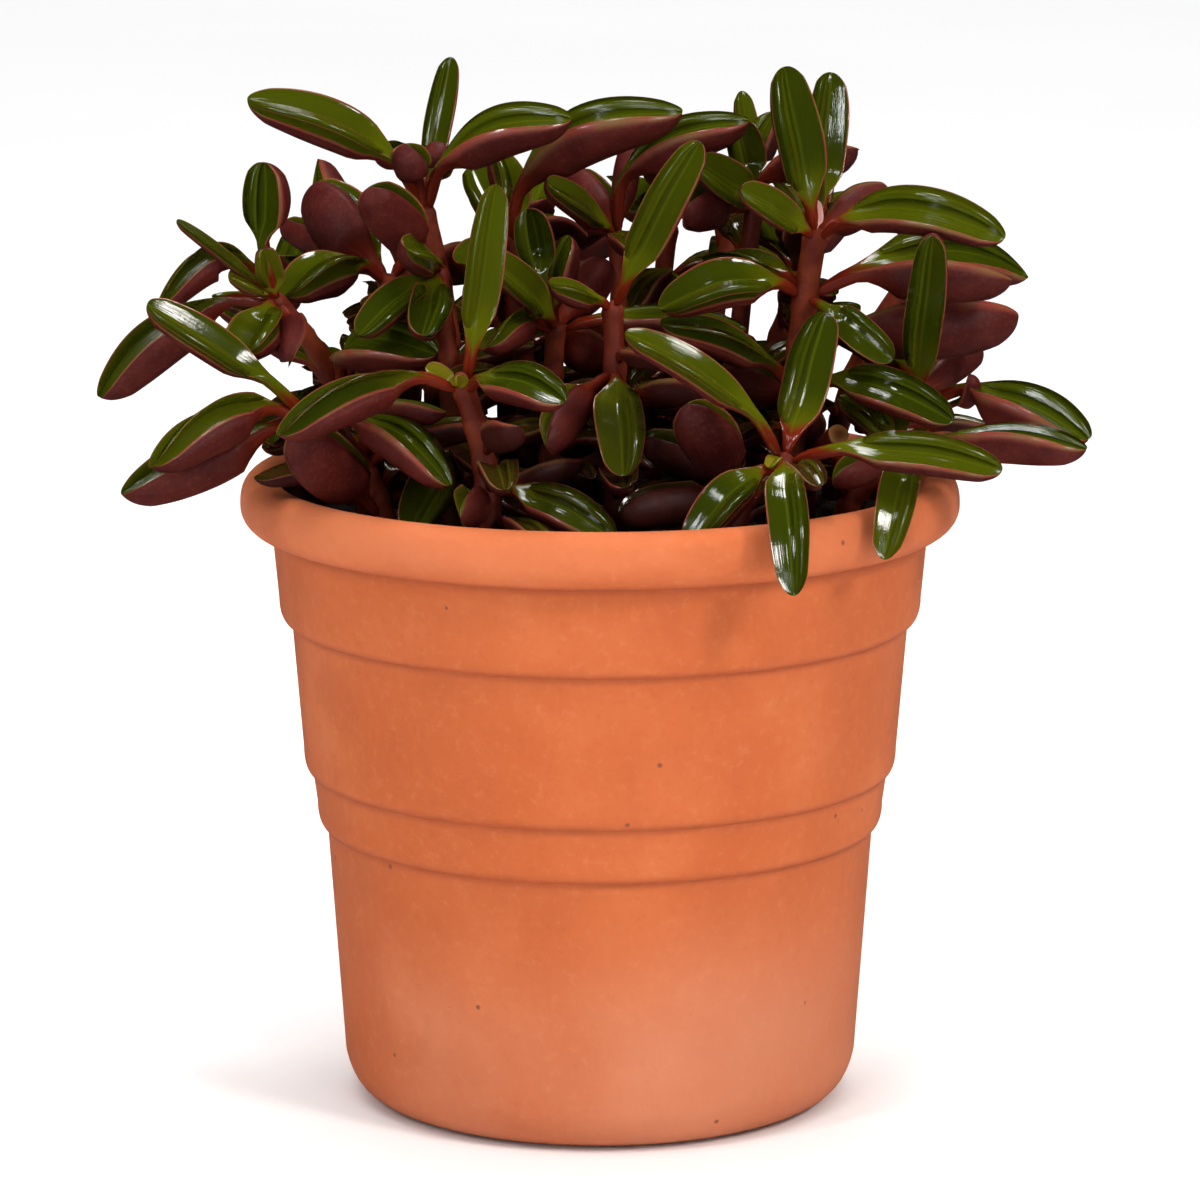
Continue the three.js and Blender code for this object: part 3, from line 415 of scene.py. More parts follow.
# The stems in view, from left to right: the root, right and back of the pot's middle, the thickness,
# the top, which is seen at a pixel, and the whorls.
stems = [
    make_stem("left_low", (-38, -24), 3.7, at_depth((166, 834), -27), [whorl(1, [150], [
        leaf((98, 784), 37, 7, 38, 2.5, stalk=0.32),
        leaf((99, 849), 33, 12, 99, 7.5),
        leaf((87, 861), 36, 11.6, 113, 3.5),
        leaf((221, 857), 30, 9.4, 68, 6),
    ]), whorl(0.1, [], [
        leaf((158, 838), 24, 11.5, 172, 1, keel=0.35),
    ])]),
    make_stem("left_outer", (-42, -6), 3.5, at_depth((150, 783), -12), [whorl(1, [70, 120], [
        leaf((144, 727), 26, 8.6, -42, 2, stalk=0.47),
        leaf((109, 749), 25, 2.8, 60, 1),
        leaf((101, 782), 24, 9.4, 97, 10),
        leaf((131, 771), 11, 4, 50, 1),
        leaf((145, 762), 12, 5, 5, 0.5),
        leaf((77, 820), 37, 11.6, 101, 7, far=True),
        leaf((136, 802), 18, 9.6, 44, 2, fold=0.3),
        leaf((157, 806), 19, 8.2, 128, 2, keel=0.5),
    ]), whorl(0.5, [110], [
        leaf((214, 803), 27, 12, 76, 10),
        leaf((172, 803), 9, 5.5, 30, 1),
    ])]),
    make_stem("left_back", (-34, 8), 3.7, at_depth((196, 775), 6), [whorl(1, [60, 130], [
        leaf((154, 778), 27, 11, 80, 6),
        leaf((166, 737), 25, 13, 158, 2, keel=0.55, far=True),
        leaf((166, 727), 33, 9, -52, 4, far=True),
        leaf((154, 751), 29, 6.5, 150, 2, far=True),
    ])]),
    make_stem("left_middle", (-26, -15), 3.7, at_depth((217, 771), -10), [whorl(1, [100], [
        leaf((189, 736), 24, 10, 172, 2, keel=0.5),
        leaf((205, 760), 14, 7.4, 84, 2),
        leaf((185, 795), 25, 6.6, 26, 3),
        leaf((211, 795), 20, 7.6, 0, 2, fold=0.28),
    ]), whorl(0.3, [], [
        leaf((206, 877), 27, 9, 0, 3, fold=0.3),
    ])]),
    make_stem("left_tall", (-25, -1), 3.7, at_depth((212, 746), 0), [whorl(1, [80, 140], [
        leaf((140, 698), 38, 9.6, 56, 7.3, stalk=0.25),
        leaf((222, 682), 30, 5.2, 15, 1.5, far=True),
        leaf((193, 722), 21, 7, 62, 7, far=True),
        leaf((204, 718), 15, 7, 168, 1, stalk=0.48),
        leaf((218, 718), 16, 7, 168, 1, stalk=0.48, far=True),
        leaf((270, 706), 34, 11, 75, 8.2, stalk=0.18),
    ])]),
    make_stem("front_left", (-19, -37), 4.1, at_depth((228, 820), -36), [whorl(1, [], [
        leaf((241, 736), 36, 6.8, -10, 1.5),
        leaf((152, 836), 35, 11, 88, 6.5),
        leaf((268, 823), 25, 8.4, 55, 4.5),
        leaf((213, 810), 8, 3.6, 20, 0.5),
        leaf((226, 814), 5, 2.8, 0, 0.3),
    ]), whorl(0.35, [], [
        leaf((289, 880), 25, 8, 42, 3.5),
        leaf((226, 872), 13, 7.5, 150, 1.5),
    ])]),
    make_stem("middle_left", (-9, -8), 3.7, at_depth((266, 795), -8), [whorl(1, [60], [
        leaf((255, 746), 23, 7, -12, 1, fold=0.5, stalk=0.48),
        leaf((238, 763), 27, 6.4, 32, 3),
        leaf((271, 757), 18, 6.5, 60, 2),
        leaf((286, 768), 20, 8, 152, 1.5, far=True),
        leaf((283, 806), 16, 8, 150, 1, far=True),
        leaf((238, 800), 22, 8, 110, 4),
    ])]),
    make_stem("middle_tall", (-13, 10), 3.7, at_depth((247, 760), 9), [whorl(1, [110, 60], [
        leaf((316, 703), 41, 13.2, 80, 11.5, stalk=0.15),
        leaf((232, 727), 22, 7, 10, 1, far=True),
        leaf((243, 719), 25, 7.4, 45, 3, far=True),
    ])]),
    make_stem("front_middle", (3, -23), 3.9, at_depth((290, 787), -20), [whorl(1, [], [
        leaf((325, 718), 36, 7.4, 18, 2.5),
        leaf((265, 775), 14, 5.6, 74, 1.5),
    ]), whorl(0.72, [], [
        leaf((294, 853), 27, 8.8, 2, 3.5),
        leaf((262, 842), 26, 8.4, 152, 3, keel=0.5),
    ])]),
    make_stem("middle_back", (4, 9), 3, at_depth((291, 758), 12), [whorl(1, [110], [
        leaf((264, 733), 23, 6, 60, 2),
        leaf((274, 731), 22, 9.4, 164, 2, keel=0.5, far=True),
        leaf((299, 712), 24, 5, 172, 1, far=True),
        leaf((344, 707), 36, 10.4, 78, 9.3, stalk=0.26),
    ])]),
    make_stem("front_right_low", (24, -27), 3.5, at_depth((346, 862), -26), [whorl(1, [], [
        leaf((321, 827), 25, 10.6, 180, 0.5, keel=0.45),
        leaf((304, 840), 21, 8, 140, 2, far=True),
        leaf((294, 871), 24, 8, 172, 1.5, keel=0.55),
    ])]),
    make_stem("front_right", (31, -38), 3.9, at_depth((361, 850), -40), [whorl(1, [], [
        leaf((297, 796), 37, 6.6, 48, 5.2, stalk=0.26),
        leaf((378, 789), 29, 8.4, 8, 1.5, stalk=0.08, far=True),
        leaf((365, 903), 33, 7.2, 0, 8),
        leaf((322, 882), 25, 7.8, 36, 4),
        leaf((450, 852), 38, 8.2, 46, 4.8, stalk=0.26, keel=0.6),
        leaf((355, 851), 6, 3, 70, 1.5),
    ])]),
    make_stem("right_tall", (34, -11), 4.5, at_depth((374, 757), -12), [whorl(1, [95], [
        leaf((362, 687), 31, 8.6, 14, 2),
        leaf((381, 689), 31, 7.8, -12, 1.5, far=True),
        leaf((373, 720), 16, 4, 150, 1),
        leaf((345, 736), 22, 6, 28, 2),
        leaf((403, 738), 23, 8, 130, 2.5, far=True),
        leaf((451, 755), 37, 9.8, 52, 8, stalk=0.1, keel=0.58),
        leaf((374, 741), 7, 3, 0, 0.3, bud=1),
    ]), whorl(0.78, [120], [
        leaf((461, 770), 46, 9.6, 44, 9, far=True),
        leaf((454, 773), 40, 9.6, 100, 4, stalk=0.24, far=True),
        leaf((405, 806), 22, 6.2, 12, 3.5, stalk=0.3),
        leaf((311, 784), 27, 9.2, 44, 6.5),
        leaf((329, 764), 24, 7.4, 70, 4, far=True),
    ]), whorl(0.6, [], [
        leaf((456, 789), 40, 12.4, 112, 3, far=True),
    ]), whorl(0.42, [100], [
        leaf((339, 815), 24, 9, 160, 2, far=True),
        leaf((371, 838), 16, 8, 150, 1, far=True),
        leaf((312, 791), 29, 8.2, 76, 4.5),
        leaf((430, 831), 31, 8.2, 42, 7, stalk=0.25),
    ])]),
    make_stem("right_back", (24, 9), 3.5, at_depth((349, 744), 12), [whorl(1, [60, 120], [
        leaf((344, 696), 22, 4.6, 25, 1, far=True),
        leaf((343, 709), 18, 7, 10, 2, fold=0.3, stalk=0.35),
        leaf((355, 705), 19, 7, 50, 3, stalk=0.35),
        leaf((327, 725), 21, 7.6, 25, 3),
        leaf((320, 744), 20, 9.6, 164, 2.5, keel=0.5),
    ])]),
    make_stem("right_outer", (46, 2), 3.9, at_depth((416, 827), -6), [whorl(1, [60, 110], [
        leaf((423, 757), 38, 7, 4, 1.5, stalk=0.12),
        leaf((441, 803), 27, 7, 100, 3, far=True),
        leaf((486, 838), 35, 12.6, 74, 6.3, stalk=0.26),
        leaf((438, 814), 15, 4, 70, -3, stalk=0.5),
        leaf((406, 812), 7, 3.5, 0, 0.4),
    ])]),
    make_stem("old_cut", (37, 0), 4, at_depth((384, 838), -14), [], cut=True),
    make_stem("right_low", (43, -22), 3.7, at_depth((412, 848), -26), [whorl(1, [], [
        leaf((403, 888), 28, 7, 0, 7),
        leaf((485, 843), 33, 9.4, 80, 4.5),
        leaf((382, 856), 16, 6.5, 150, 2),
        leaf((386, 822), 17, 6, 40, 2, far=True),
        leaf((398, 818), 16, 7.5, 30, 2, far=True),
    ])]),
]

# The stems at the back, which the view hides: the root, the top and the leaves' bearings.
BACK = [
    ("back_left_outer", (-44, 22), (-59, 30, 138), [175, 120, 215, 75, 150]),
    ("back_left", (-30, 34), (-38, 47, 150), [140, 95, 190, 55, 115]),
    ("back_middle", (-11, 43), (-14, 54, 143), [105, 60, 150, 20, 90]),
    ("back_right", (10, 44), (13, 56, 151), [70, 120, 25, 160, 95]),
    ("back_right_wide", (29, 36), (37, 46, 141), [40, 85, -5, 130, 60]),
    ("back_right_outer", (43, 22), (58, 28, 147), [10, 55, -35, 100, 30]),
    ("back_tall_left", (-17, 26), (-19, 30, 164), [170, 110, 60, 220, 140]),
    ("back_tall_right", (19, 27), (26, 33, 160), [20, 75, 120, -30, 50]),
]
BACK_THICK = 3.7
for name, root, top, bearings in BACK:
    stems.append(make_stem(name, root, BACK_THICK, vec(*top), [
        whorl(1, [*bearings, bearings[0] + 180], [], upright=True),
        whorl(0.5, [bearing + 25 for bearing in bearings[:2]], []),
    ]))


def keep(stem, number, placed):
    if placed is None:
        return
    stem["leaves"].append(placed[0])
    grown.add(placed[1], number)


# Every stem stands before any leaf grows, and the leaves that are seen come before those that aren't.
for number, stem in enumerate(stems):
    grown.add(stem_beads(stem), number)
standing = grown.count
for number, stem in enumerate(stems):
    for ring in stem["whorls"]:
        for plan in ring["leaves"]:
            keep(stem, number, place_seen(stem, number, ring["at"], plan))
in_view = slice(standing, grown.count)
seen.update(zip(("across", "down", "scale"), seen_at(grown.middle[in_view])), size=grown.size[in_view].copy())

# Hidden leaves rise by PITCH degrees, and each next one of an upright whorl by STEEPER more.
PITCH = 14
STEEPER = 11
for number, stem in enumerate(stems):
    for ring in stem["whorls"]:
        for i, bearing in enumerate(ring["hidden"]):
            pitch = PITCH + i * STEEPER if ring["upright"] else PITCH
            keep(stem, number, place_hidden(stem, number, ring["at"], bearing, pitch))

# Lower down each stem carries smaller leaves, wherever the others leave room for them. A level is
# a share of the stem's length with its number of leaves.
LEVELS = [(0.55, 2), (0.3, 2), (0.12, 2), (0.75, 1)]
GOLDEN = 137.5
LOW_PITCH = 16
LOW_SCALE = 0.78
for level, (at, count) in enumerate(LEVELS):
    for number, stem in enumerate(stems):
        for k in range(0 if stem["cut"] else count):
            bearing = GOLDEN * (number + 2 * level) + 150 * k - 90
            placed = place_hidden(stem, number, at, bearing, LOW_PITCH, LOW_SCALE)
            keep(stem, number, placed)
            if placed is not None:
                placed[0]["inner"] = 1


# The angles of a section's margins, in degrees from the right, with the green face between them.
MARGINS = (30, 150)
HALF_FACE = 60

# The green face's relief: its height in shares of the rib, and its place and width in shares of
# the half width. The rib is a share of the leaf's width.
MIDRIB = (0.8, 0.0, 0.14)
LIP = (0.6, 0.95, 0.07)
FURROW = (0.2, 0.8, 0.1)
RIB = 0.018


def ridge(s, high, middle, wide):
    return high * np.exp(-(((s - middle) / wide) ** 2))


def section_points(parts, angles):
    """Each section's points across and up from its middle, with their `around` and `sway`."""
    s = (90 - angles) / HALF_FACE
    aside = np.abs(s)
    upper = (angles >= MARGINS[0]) & (angles <= MARGINS[1])
    below = ((angles + 360) % 360 - 270) * 0.75
    half, keel, groove, rib = (parts[key][:, None] for key in ("half", "keel", "groove", "rib"))
    thin, blend = parts["thin"][:, None], parts["blend"][:, None]
    relief = ridge(aside, *LIP) - ridge(aside, *FURROW) - ridge(aside, *MIDRIB)
    dip = -groove * (1 - np.minimum(1, aside) ** 1.6) + rib * relief
    cos_below = np.maximum(0, np.cos(np.radians(below)))
    across = np.where(upper, half * s, half * np.sin(np.radians(below)))
    up = np.where(upper, dip, -keel * cos_below**0.8)
    turn = np.radians(angles)
    out = across * blend + thin * np.cos(turn) * (1 - blend)
    high = up * blend + thin * np.sin(turn) * (1 - blend)
    around = np.where(upper, aside, 2 - np.abs(below) / 90)
    sway = np.where(upper, s, below / 90)
    return out, high, np.broadcast_to(around, out.shape), np.broadcast_to(sway, out.shape)


def circle(sides):
    return np.linspace(0, 2 * math.pi, sides, endpoint=False)


def add_object(name, data):
    thing = bpy.data.objects.new(name, data)
    bpy.context.scene.collection.objects.link(thing)
    return thing


class Mesh:
    """Vertices in millimetres, faces, and a few values for each vertex."""

    def __init__(self):
        self.spots, self.faces, self.marks, self.count = [], [], [], 0

    def rings(self, spots, marks, cap_start, cap_end):
        """Rings of points joined into a closed skin, each end closed on a middle point."""
        rows, sides = spots.shape[:2]
        base = self.count
        self.spots += [spots.reshape(-1, 3), cap_start[None], cap_end[None]]
        flat = marks.reshape(-1, marks.shape[-1])
        self.marks += [flat, flat[:sides].mean(axis=0)[None], flat[-sides:].mean(axis=0)[None]]
        first, last = base + rows * sides, base + rows * sides + 1
        i, j = np.meshgrid(np.arange(rows - 1), np.arange(sides), indexing="ij")
        row, next_row = base + i * sides, base + (i + 1) * sides
        k = (j + 1) % sides
        corners = (row + j, row + k, next_row + k, next_row + j)
        self.faces += np.stack(corners, -1).reshape(-1, 4).tolist()
        top = base + (rows - 1) * sides
        self.faces += [[first, base + (n + 1) % sides, base + n] for n in range(sides)]
        self.faces += [[last, top + n, top + (n + 1) % sides] for n in range(sides)]
        self.count += rows * sides + 2

    def make(self, name, names, material):
        mesh = bpy.data.meshes.new(name)
        mesh.from_pydata((np.concatenate(self.spots) / 1000).tolist(), [], self.faces)
        marks = np.concatenate(self.marks)
        for i, key in enumerate(names):
            layer = mesh.attributes.new(key, "FLOAT", "POINT")
            layer.data.foreach_set("value", marks[:, i].astype(np.float32))
        mesh.shade_smooth()
        mesh.materials.append(material)
        return add_object(name, mesh)


# What each vertex keeps for the colours. `around` runs from the groove (0) over the margin (1) to the
# keel (2), `sway` from side to side, and `along` from stem to tip. `tone` is a draw, `kind` is 0 on a
# leaf and 1 on a stem, and the others are shares.
MARKS = ("around", "sway", "along", "tone", "young", "kind", "inner", "bud")
tones = np.random.RandomState(7)
FULL_TURN = 6.28

# Leaves in view have more rings, and more points on the upper face and below.
FINE = {"rings": 34, "upper": [1, 0.96, 0.91, 0.84, 0.74, 0.62, 0.52, 0.42, 0.28, 0.16, 0.07], "below": 13}
PLAIN = {"rings": 18, "upper": [1, 0.95, 0.84, 0.62, 0.45, 0.2], "below": 9}
WOBBLE = 0.018


def blank_marks(shape, **values):
    marks = np.zeros(shape[:2] + (len(MARKS),))
    for name, value in values.items():
        marks[..., MARKS.index(name)] = value
    return marks


def add_leaf(mesh, leaf):
    skin = PLAIN if leaf["hidden"] else FINE
    us = 1 - (1 - np.linspace(0, 1, skin["rings"])) ** 2
    parts = leaf_sections(leaf, us, 0.00001)

    # The last rings round the tip off, and reach further out so that the leaf keeps its length.
    end = parts["thin"][-1]
    reach = 0.55 * (end + 0.21 * (leaf["wide"] / 2 - end))
    for key in ("half", "keel"):
        parts[key] = parts[key] - parts["thin"] * (1 - np.sqrt(np.clip((1 - us) / 0.06, 0, 1)))
    parts["thin"] = np.minimum(parts["thin"], parts["half"])
    rise = np.clip((us - leaf["stalk"] - 0.04) / 0.15, 0, 1) * np.clip((1.02 - us) / 0.12, 0.35, 1)
    parts["rib"] = leaf["wide"] * RIB * parts["swell"] * rise

    steps = skin["upper"]
    upper = [90 - HALF_FACE * s for s in steps] + [90] + [90 + HALF_FACE * s for s in reversed(steps)]
    lower = np.linspace(MARGINS[1], MARGINS[0] + 360, skin["below"])[1:-1] % 360
    out, high, around, sway = section_points(parts, np.concatenate([upper, lower]))
    place, course, up = leaf_frames(leaf, us)
    tone, turn = tones.rand(), tones.rand() * FULL_TURN
    wobble = WOBBLE * leaf["wide"] * parts["blend"] * np.sin(us * 9 + turn) * np.sin(us * math.pi)
    place = place + leaf["side"] * wobble[:, None]
    place = place + course * (reach * np.clip((us - 0.84) / 0.16, 0, 1) ** 2)[:, None]
    spots = place[:, None] + leaf["side"] * out[..., None] + up[:, None] * high[..., None]
    where = {"around": around, "sway": sway, "along": us[:, None], "tone": tone}
    young = float(np.clip((13 - leaf["long"]) / 8, 0, 1))
    inner, bud = leaf.get("inner", 0), leaf.get("bud", 0)
    marks = blank_marks(spots.shape, **where, young=young, inner=inner, bud=bud)
    mesh.rings(spots, marks, place[0], spots[-1].mean(axis=0) + course[-1] * 0.01)


STEM_ROWS, STEM_SIDES = 44, 18
NODES = [0.1, 0.3, 0.5, 0.75]
NODE_LENGTH = 1.3
DOME = np.radians([30, 55, 75])
CUT_END = [1, 1, 0.6, 0.2]


def add_stem(mesh, stem):
    """A stem with its swollen nodes, closed by a dome, or by a flat end where it was cut."""
    sink = np.linspace(-1, 0, 5)[:-1]
    shares = np.concatenate([sink, np.linspace(0, 1, STEM_ROWS)])
    inside = np.maximum(shares, 0)
    place = stem["course"].at(inside)
    place[:len(sink)] = stem["foot"] + np.outer(sink, vec(0, 0, SINK + ABOVE_SOIL))
    forward = stem["course"].heading(inside)
    right = np.cross(vec(0, -1, 0), forward)
    right /= np.linalg.norm(right, axis=1, keepdims=True)
    back = np.cross(forward, right)

    nodes = [ring["at"] for ring in stem["whorls"]] + NODES
    length = float(np.linalg.norm(stem["course"].end - stem["foot"]))
    swelling = sum(np.exp(-(((shares - at) * length / NODE_LENGTH) ** 2)) for at in nodes)
    radius = stem_radius(stem, inside) * (0.97 + 0.13 * np.minimum(1, swelling))
    turn = circle(STEM_SIDES)
    phase = tones.rand() * FULL_TURN
    uneven = 1 + 0.03 * np.sin(3 * turn + phase) + 0.02 * np.sin(5 * turn[None] + shares[:, None] * 7)

    dome_high, over = (0.005, 0.02) if stem["cut"] else (0.5, 0.55)
    lift = np.sin(DOME)[:, None] * stem["thick"] * dome_high
    place = np.concatenate([place, place[-1] + forward[-1] * lift])
    radius = np.concatenate([radius, radius[-1] * np.cos(DOME)])
    frames = (forward, right, back, uneven)
    forward, right, back, uneven = (np.concatenate([v, np.repeat(v[-1:], len(DOME), 0)]) for v in frames)
    shares = np.concatenate([shares, [1.02, 1.03, 1.04]])
    ring = radius[:, None] * uneven
    spots = place[:, None] + right[:, None] * (np.cos(turn) * ring)[..., None]
    spots = spots + back[:, None] * (np.sin(turn) * ring)[..., None]
    sway = np.sin(turn)[None]
    marks = blank_marks(spots.shape, around=1.5, sway=sway, along=shares[:, None], tone=tones.rand(), kind=1)
    if stem["cut"]:
        marks[-len(CUT_END):, :, MARKS.index("young")] = np.array(CUT_END)[:, None]
    mesh.rings(spots, marks, place[0], stem["course"].end + forward[-1] * (stem["thick"] * over))


# The materials.
def srgb(red, green, blue):
    """A colour given as it looks, 0 to 255, in the linear values of a shader."""
    shares = [c / 255 for c in (red, green, blue)]
    return tuple(c / 12.92 if c <= 0.04045 else ((c + 0.055) / 1.055) ** 2.4 for c in shares) + (1,)


class Paint:
    """A material's node tree, with short ways to add its usual nodes."""

    def __init__(self, name):
        self.material = bpy.data.materials.new(name)
        self.material.use_nodes = True
        self.tree = self.material.node_tree
        self.shader = self.tree.nodes["Principled BSDF"]
        self.coords = None

    def join(self, value, socket):
        if isinstance(value, bpy.types.NodeSocket):
            self.tree.links.new(value, socket)
        else:
            socket.default_value = value

    def set(self, **values):
        for name, value in values.items():
            self.join(value, self.shader.inputs[name.replace("_", " ")])

    def node(self, kind, inputs, **settings):
        node = self.tree.nodes.new("ShaderNode" + kind)
        for name, value in settings.items():
            setattr(node, name, value)
        for name, value in inputs.items():
            self.join(value, node.inputs[name])
        return node

    def mark(self, name):
        return self.node("Attribute", {}, attribute_name=name).outputs["Fac"]

    def place(self):
        if self.coords is None:
            self.coords = self.node("TexCoord", {})
        return self.coords.outputs["Object"]

    def parts(self, vector):
        return self.node("SeparateXYZ", {0: vector}).outputs

    def vector(self, x, y, z):
        return self.node("CombineXYZ", {0: x, 1: y, 2: z}).outputs[0]

    def noise(self, scale, detail=3.0, rough=0.55, vector=None, twist=0.0):
        vector = self.place() if vector is None else vector
        inputs = {"Vector": vector, "Scale": scale, "Detail": detail, "Roughness": rough, "Distortion": twist}
        return self.node("TexNoise", inputs).outputs["Fac"]

    def grains(self, scale, radius, threshold):
        """Round grains in those cells of a pattern whose random red is past a threshold."""
        cells = self.node("TexVoronoi", {"Vector": self.place(), "Scale": scale}).outputs
        picked = self.span(self.parts(cells["Color"])[0], *threshold)
        return self.times(self.fall(cells["Distance"], *radius), picked)

    def maths(self, kind, a, b=0.0):
        return self.node("Math", {0: a, 1: b}, operation=kind).outputs[0]

    def times(self, a, b):
        return self.maths("MULTIPLY", a, b)

    def plus(self, a, b):
        return self.maths("ADD", a, b)

    def minus(self, a, b):
        return self.maths("SUBTRACT", a, b)

    def span(self, value, low, high, to_low=0.0, to_high=1.0):
        """A smooth step, from to_low where the value is low to to_high where it is high."""
        inputs = {"Value": value, "From Min": low, "From Max": high, "To Min": to_low, "To Max": to_high}
        return self.node("MapRange", inputs, interpolation_type="SMOOTHSTEP").outputs["Result"]

    def fall(self, value, low, high, most=1.0):
        return self.span(value, low, high, most, 0.0)

    def mix(self, share, a, b):
        """A mix of two colours, each a socket or as it looks, 0 to 255."""
        a, b = (srgb(*colour) if isinstance(colour, tuple) else colour for colour in (a, b))
        return self.node("Mix", {0: share, 6: a, 7: b}, data_type="RGBA").outputs[2]

    def bump(self, height, strength, distance, **below):
        inputs = {"Height": height, "Strength": strength, "Distance": distance, **below}
        return self.node("Bump", inputs).outputs["Normal"]


# Lengths in the materials are metres.
def green_face(p, at, streak):
    """Streaked dark green, paler at the base, along the midrib and on young leaves, and darkened with painted
    shade on the low inner leaves.
    """
    green = p.mix(p.span(at["tone"], 0.1, 0.9), (42, 50, 3), (60, 66, 4))
    green = p.mix(p.span(streak, 0.4, 0.72, 0, 0.1), green, (38, 42, 2))
    base = p.fall(p.plus(at["along"], p.times(streak, 0.16)), 0.26, 0.62)
    green = p.mix(p.times(base, 0.5), green, (92, 94, 6))
    green = p.mix(p.times(at["young"], 0.75), green, (124, 112, 20))
    # The low inner leaves turn darker and browner: partly the redness of older leaves, partly painted shade.
    green = p.mix(p.times(at["inner"], 0.75), green, (48, 24, 9))
    return p.mix(p.fall(at["around"], 0.0, 0.12, 0.35), green, (84, 92, 12))


def wine_underside(p, at, blotch, fine):
    """Blotched and finely flecked wine red with a painted fine highlight, more russet towards the stalk."""
    wine = p.mix(p.span(blotch, 0.35, 0.7), (68, 18, 14), (86, 28, 21))
    wine = p.mix(p.span(at["tone"], 0.3, 1.0, 0.0, 0.45), wine, (56, 14, 13))
    # Pale fine flecks: a painted fine highlight on the wine.
    wine = p.mix(p.span(fine, 0.5, 0.72, 0.0, 0.28), wine, (110, 50, 42))
    wine = p.mix(p.fall(fine, 0.3, 0.45, 0.3), wine, (58, 14, 14))
    # The low inner leaves are darker: partly older leaves, partly painted shade.
    wine = p.mix(p.times(at["inner"], 0.65), wine, (42, 12, 9))
    russet = p.fall(p.plus(at["along"], p.times(blotch, 0.2)), 0.22, 0.62)
    wine = p.mix(p.times(russet, 0.8), wine, (98, 28, 10))
    return p.mix(p.times(at["young"], 0.5), wine, (122, 58, 32))


def leaf_skin(p, at, streak, blotch, fine):
    """The green face, the ragged pale margin, the wine underside and the red stalk."""
    margin = p.mix(p.span(blotch, 0.4, 0.65), (122, 54, 42), (108, 78, 42))
    ragged = p.plus(at["around"], p.times(p.minus(streak, 0.5), 0.05))
    skin = p.mix(p.span(ragged, 0.9, 0.97), green_face(p, at, streak), margin)
    skin = p.mix(p.span(ragged, 1.02, 1.14), skin, wine_underside(p, at, blotch, fine))
    stalk = p.mix(p.span(streak, 0.35, 0.7), (92, 22, 10), (112, 36, 14))
    opening = p.minus(at["along"], p.times(at["around"], 0.07))
    return p.mix(p.fall(opening, 0.13, 0.24), skin, stalk)


def stem_bark(p, at, blotch, fine):
    """Red-brown bark, and tan wood where the cut stem's end is marked young."""
    bark = p.mix(p.span(blotch, 0.4, 0.66), (88, 26, 12), (118, 46, 21))
    bark = p.mix(p.span(fine, 0.6, 0.78, 0.0, 0.4), bark, (132, 66, 40))
    return p.mix(at["young"], bark, (172, 116, 62))


def crown_shade(p):
    """How much painted shade darkens the plant low down inside the crown."""
    x, y, z = p.parts(p.place())
    inwards = p.maths("SQRT", p.plus(p.times(x, x), p.times(y, y)))
    return p.times(p.fall(z, 0.108, 0.146, 0.78), p.fall(inwards, 0.034, 0.052))


def leafy_material():
    p = Paint("leafy")
    at = {name: p.mark(name) for name in MARKS}
    lengthwise = p.vector(p.times(at["sway"], 5.0), p.times(at["along"], 1.6), p.times(at["tone"], 40.0))
    streak = p.noise(1.6, 3.0, 0.6, lengthwise)
    blotch = p.noise(140, 3.0, 0.6)
    fine = p.noise(1500, 2.0, 0.6)
    skin = p.mix(at["kind"], leaf_skin(p, at, streak, blotch, fine), stem_bark(p, at, blotch, fine))
    skin = p.mix(at["bud"], skin, (236, 180, 172))
    # Painted shade low down inside the crown.
    skin = p.mix(crown_shade(p), skin, (34, 13, 9))

    top_gloss = p.vector(p.span(streak, 0.3, 0.75, 0.06, 0.13), 0, 0)
    under_gloss = p.vector(p.span(blotch, 0.3, 0.7, 0.48, 0.62), 0, 0)
    gloss = p.mix(p.span(at["around"], 0.98, 1.1), top_gloss, under_gloss)
    shine = p.span(at["around"], 0.98, 1.1, 0.55, 0.18)
    relief = p.bump(streak, 0.12, 0.0005)
    relief = p.bump(fine, 0.12, 0.00012, Normal=relief)
    p.set(Base_Color=skin, Roughness=p.parts(gloss)[0], Specular_IOR_Level=shine, Normal=relief)
    p.set(IOR=1.47, Subsurface_Weight=0.05, Subsurface_Radius=(0.6, 0.35, 0.12), Subsurface_Scale=0.003)
    return p.material


def fired_clay(p, cloud, patch, grain):
    """Orange clay in pale and dark clouds, patches and grains."""
    clay = p.mix(p.span(cloud, 0.3, 0.7), (180, 86, 38), (188, 95, 48))
    clay = p.mix(p.span(patch, 0.45, 0.75, 0.0, 0.3), clay, (204, 118, 74))
    clay = p.mix(p.fall(patch, 0.26, 0.46, 0.35), clay, (172, 76, 30))
    clay = p.mix(p.span(grain, 0.5, 0.8, 0.0, 0.25), clay, (208, 128, 88))
    return p.mix(p.fall(grain, 0.25, 0.45, 0.28), clay, (162, 70, 30))


def pale_bloom_and_rim_light(p, clay, z, cloud):
    """A pale bloom low on the wall, and painted light that makes the rim's upper part paler."""
    low = p.fall(p.plus(z, p.times(cloud, 0.02)), 0.03, 0.062)
    bloom = p.times(low, p.span(p.noise(14, 3.0, 0.5), 0.3, 0.75))
    clay = p.mix(p.times(bloom, 0.52), clay, (200, 134, 104))
    # Painted light: the rim's upper part, which faces up, is painted paler.
    painted_rim_light = p.times(p.span(z, 0.104, 0.111), p.span(cloud, 0.3, 0.62, 0.1, 0.6))
    return p.mix(painted_rim_light, clay, (202, 114, 74))


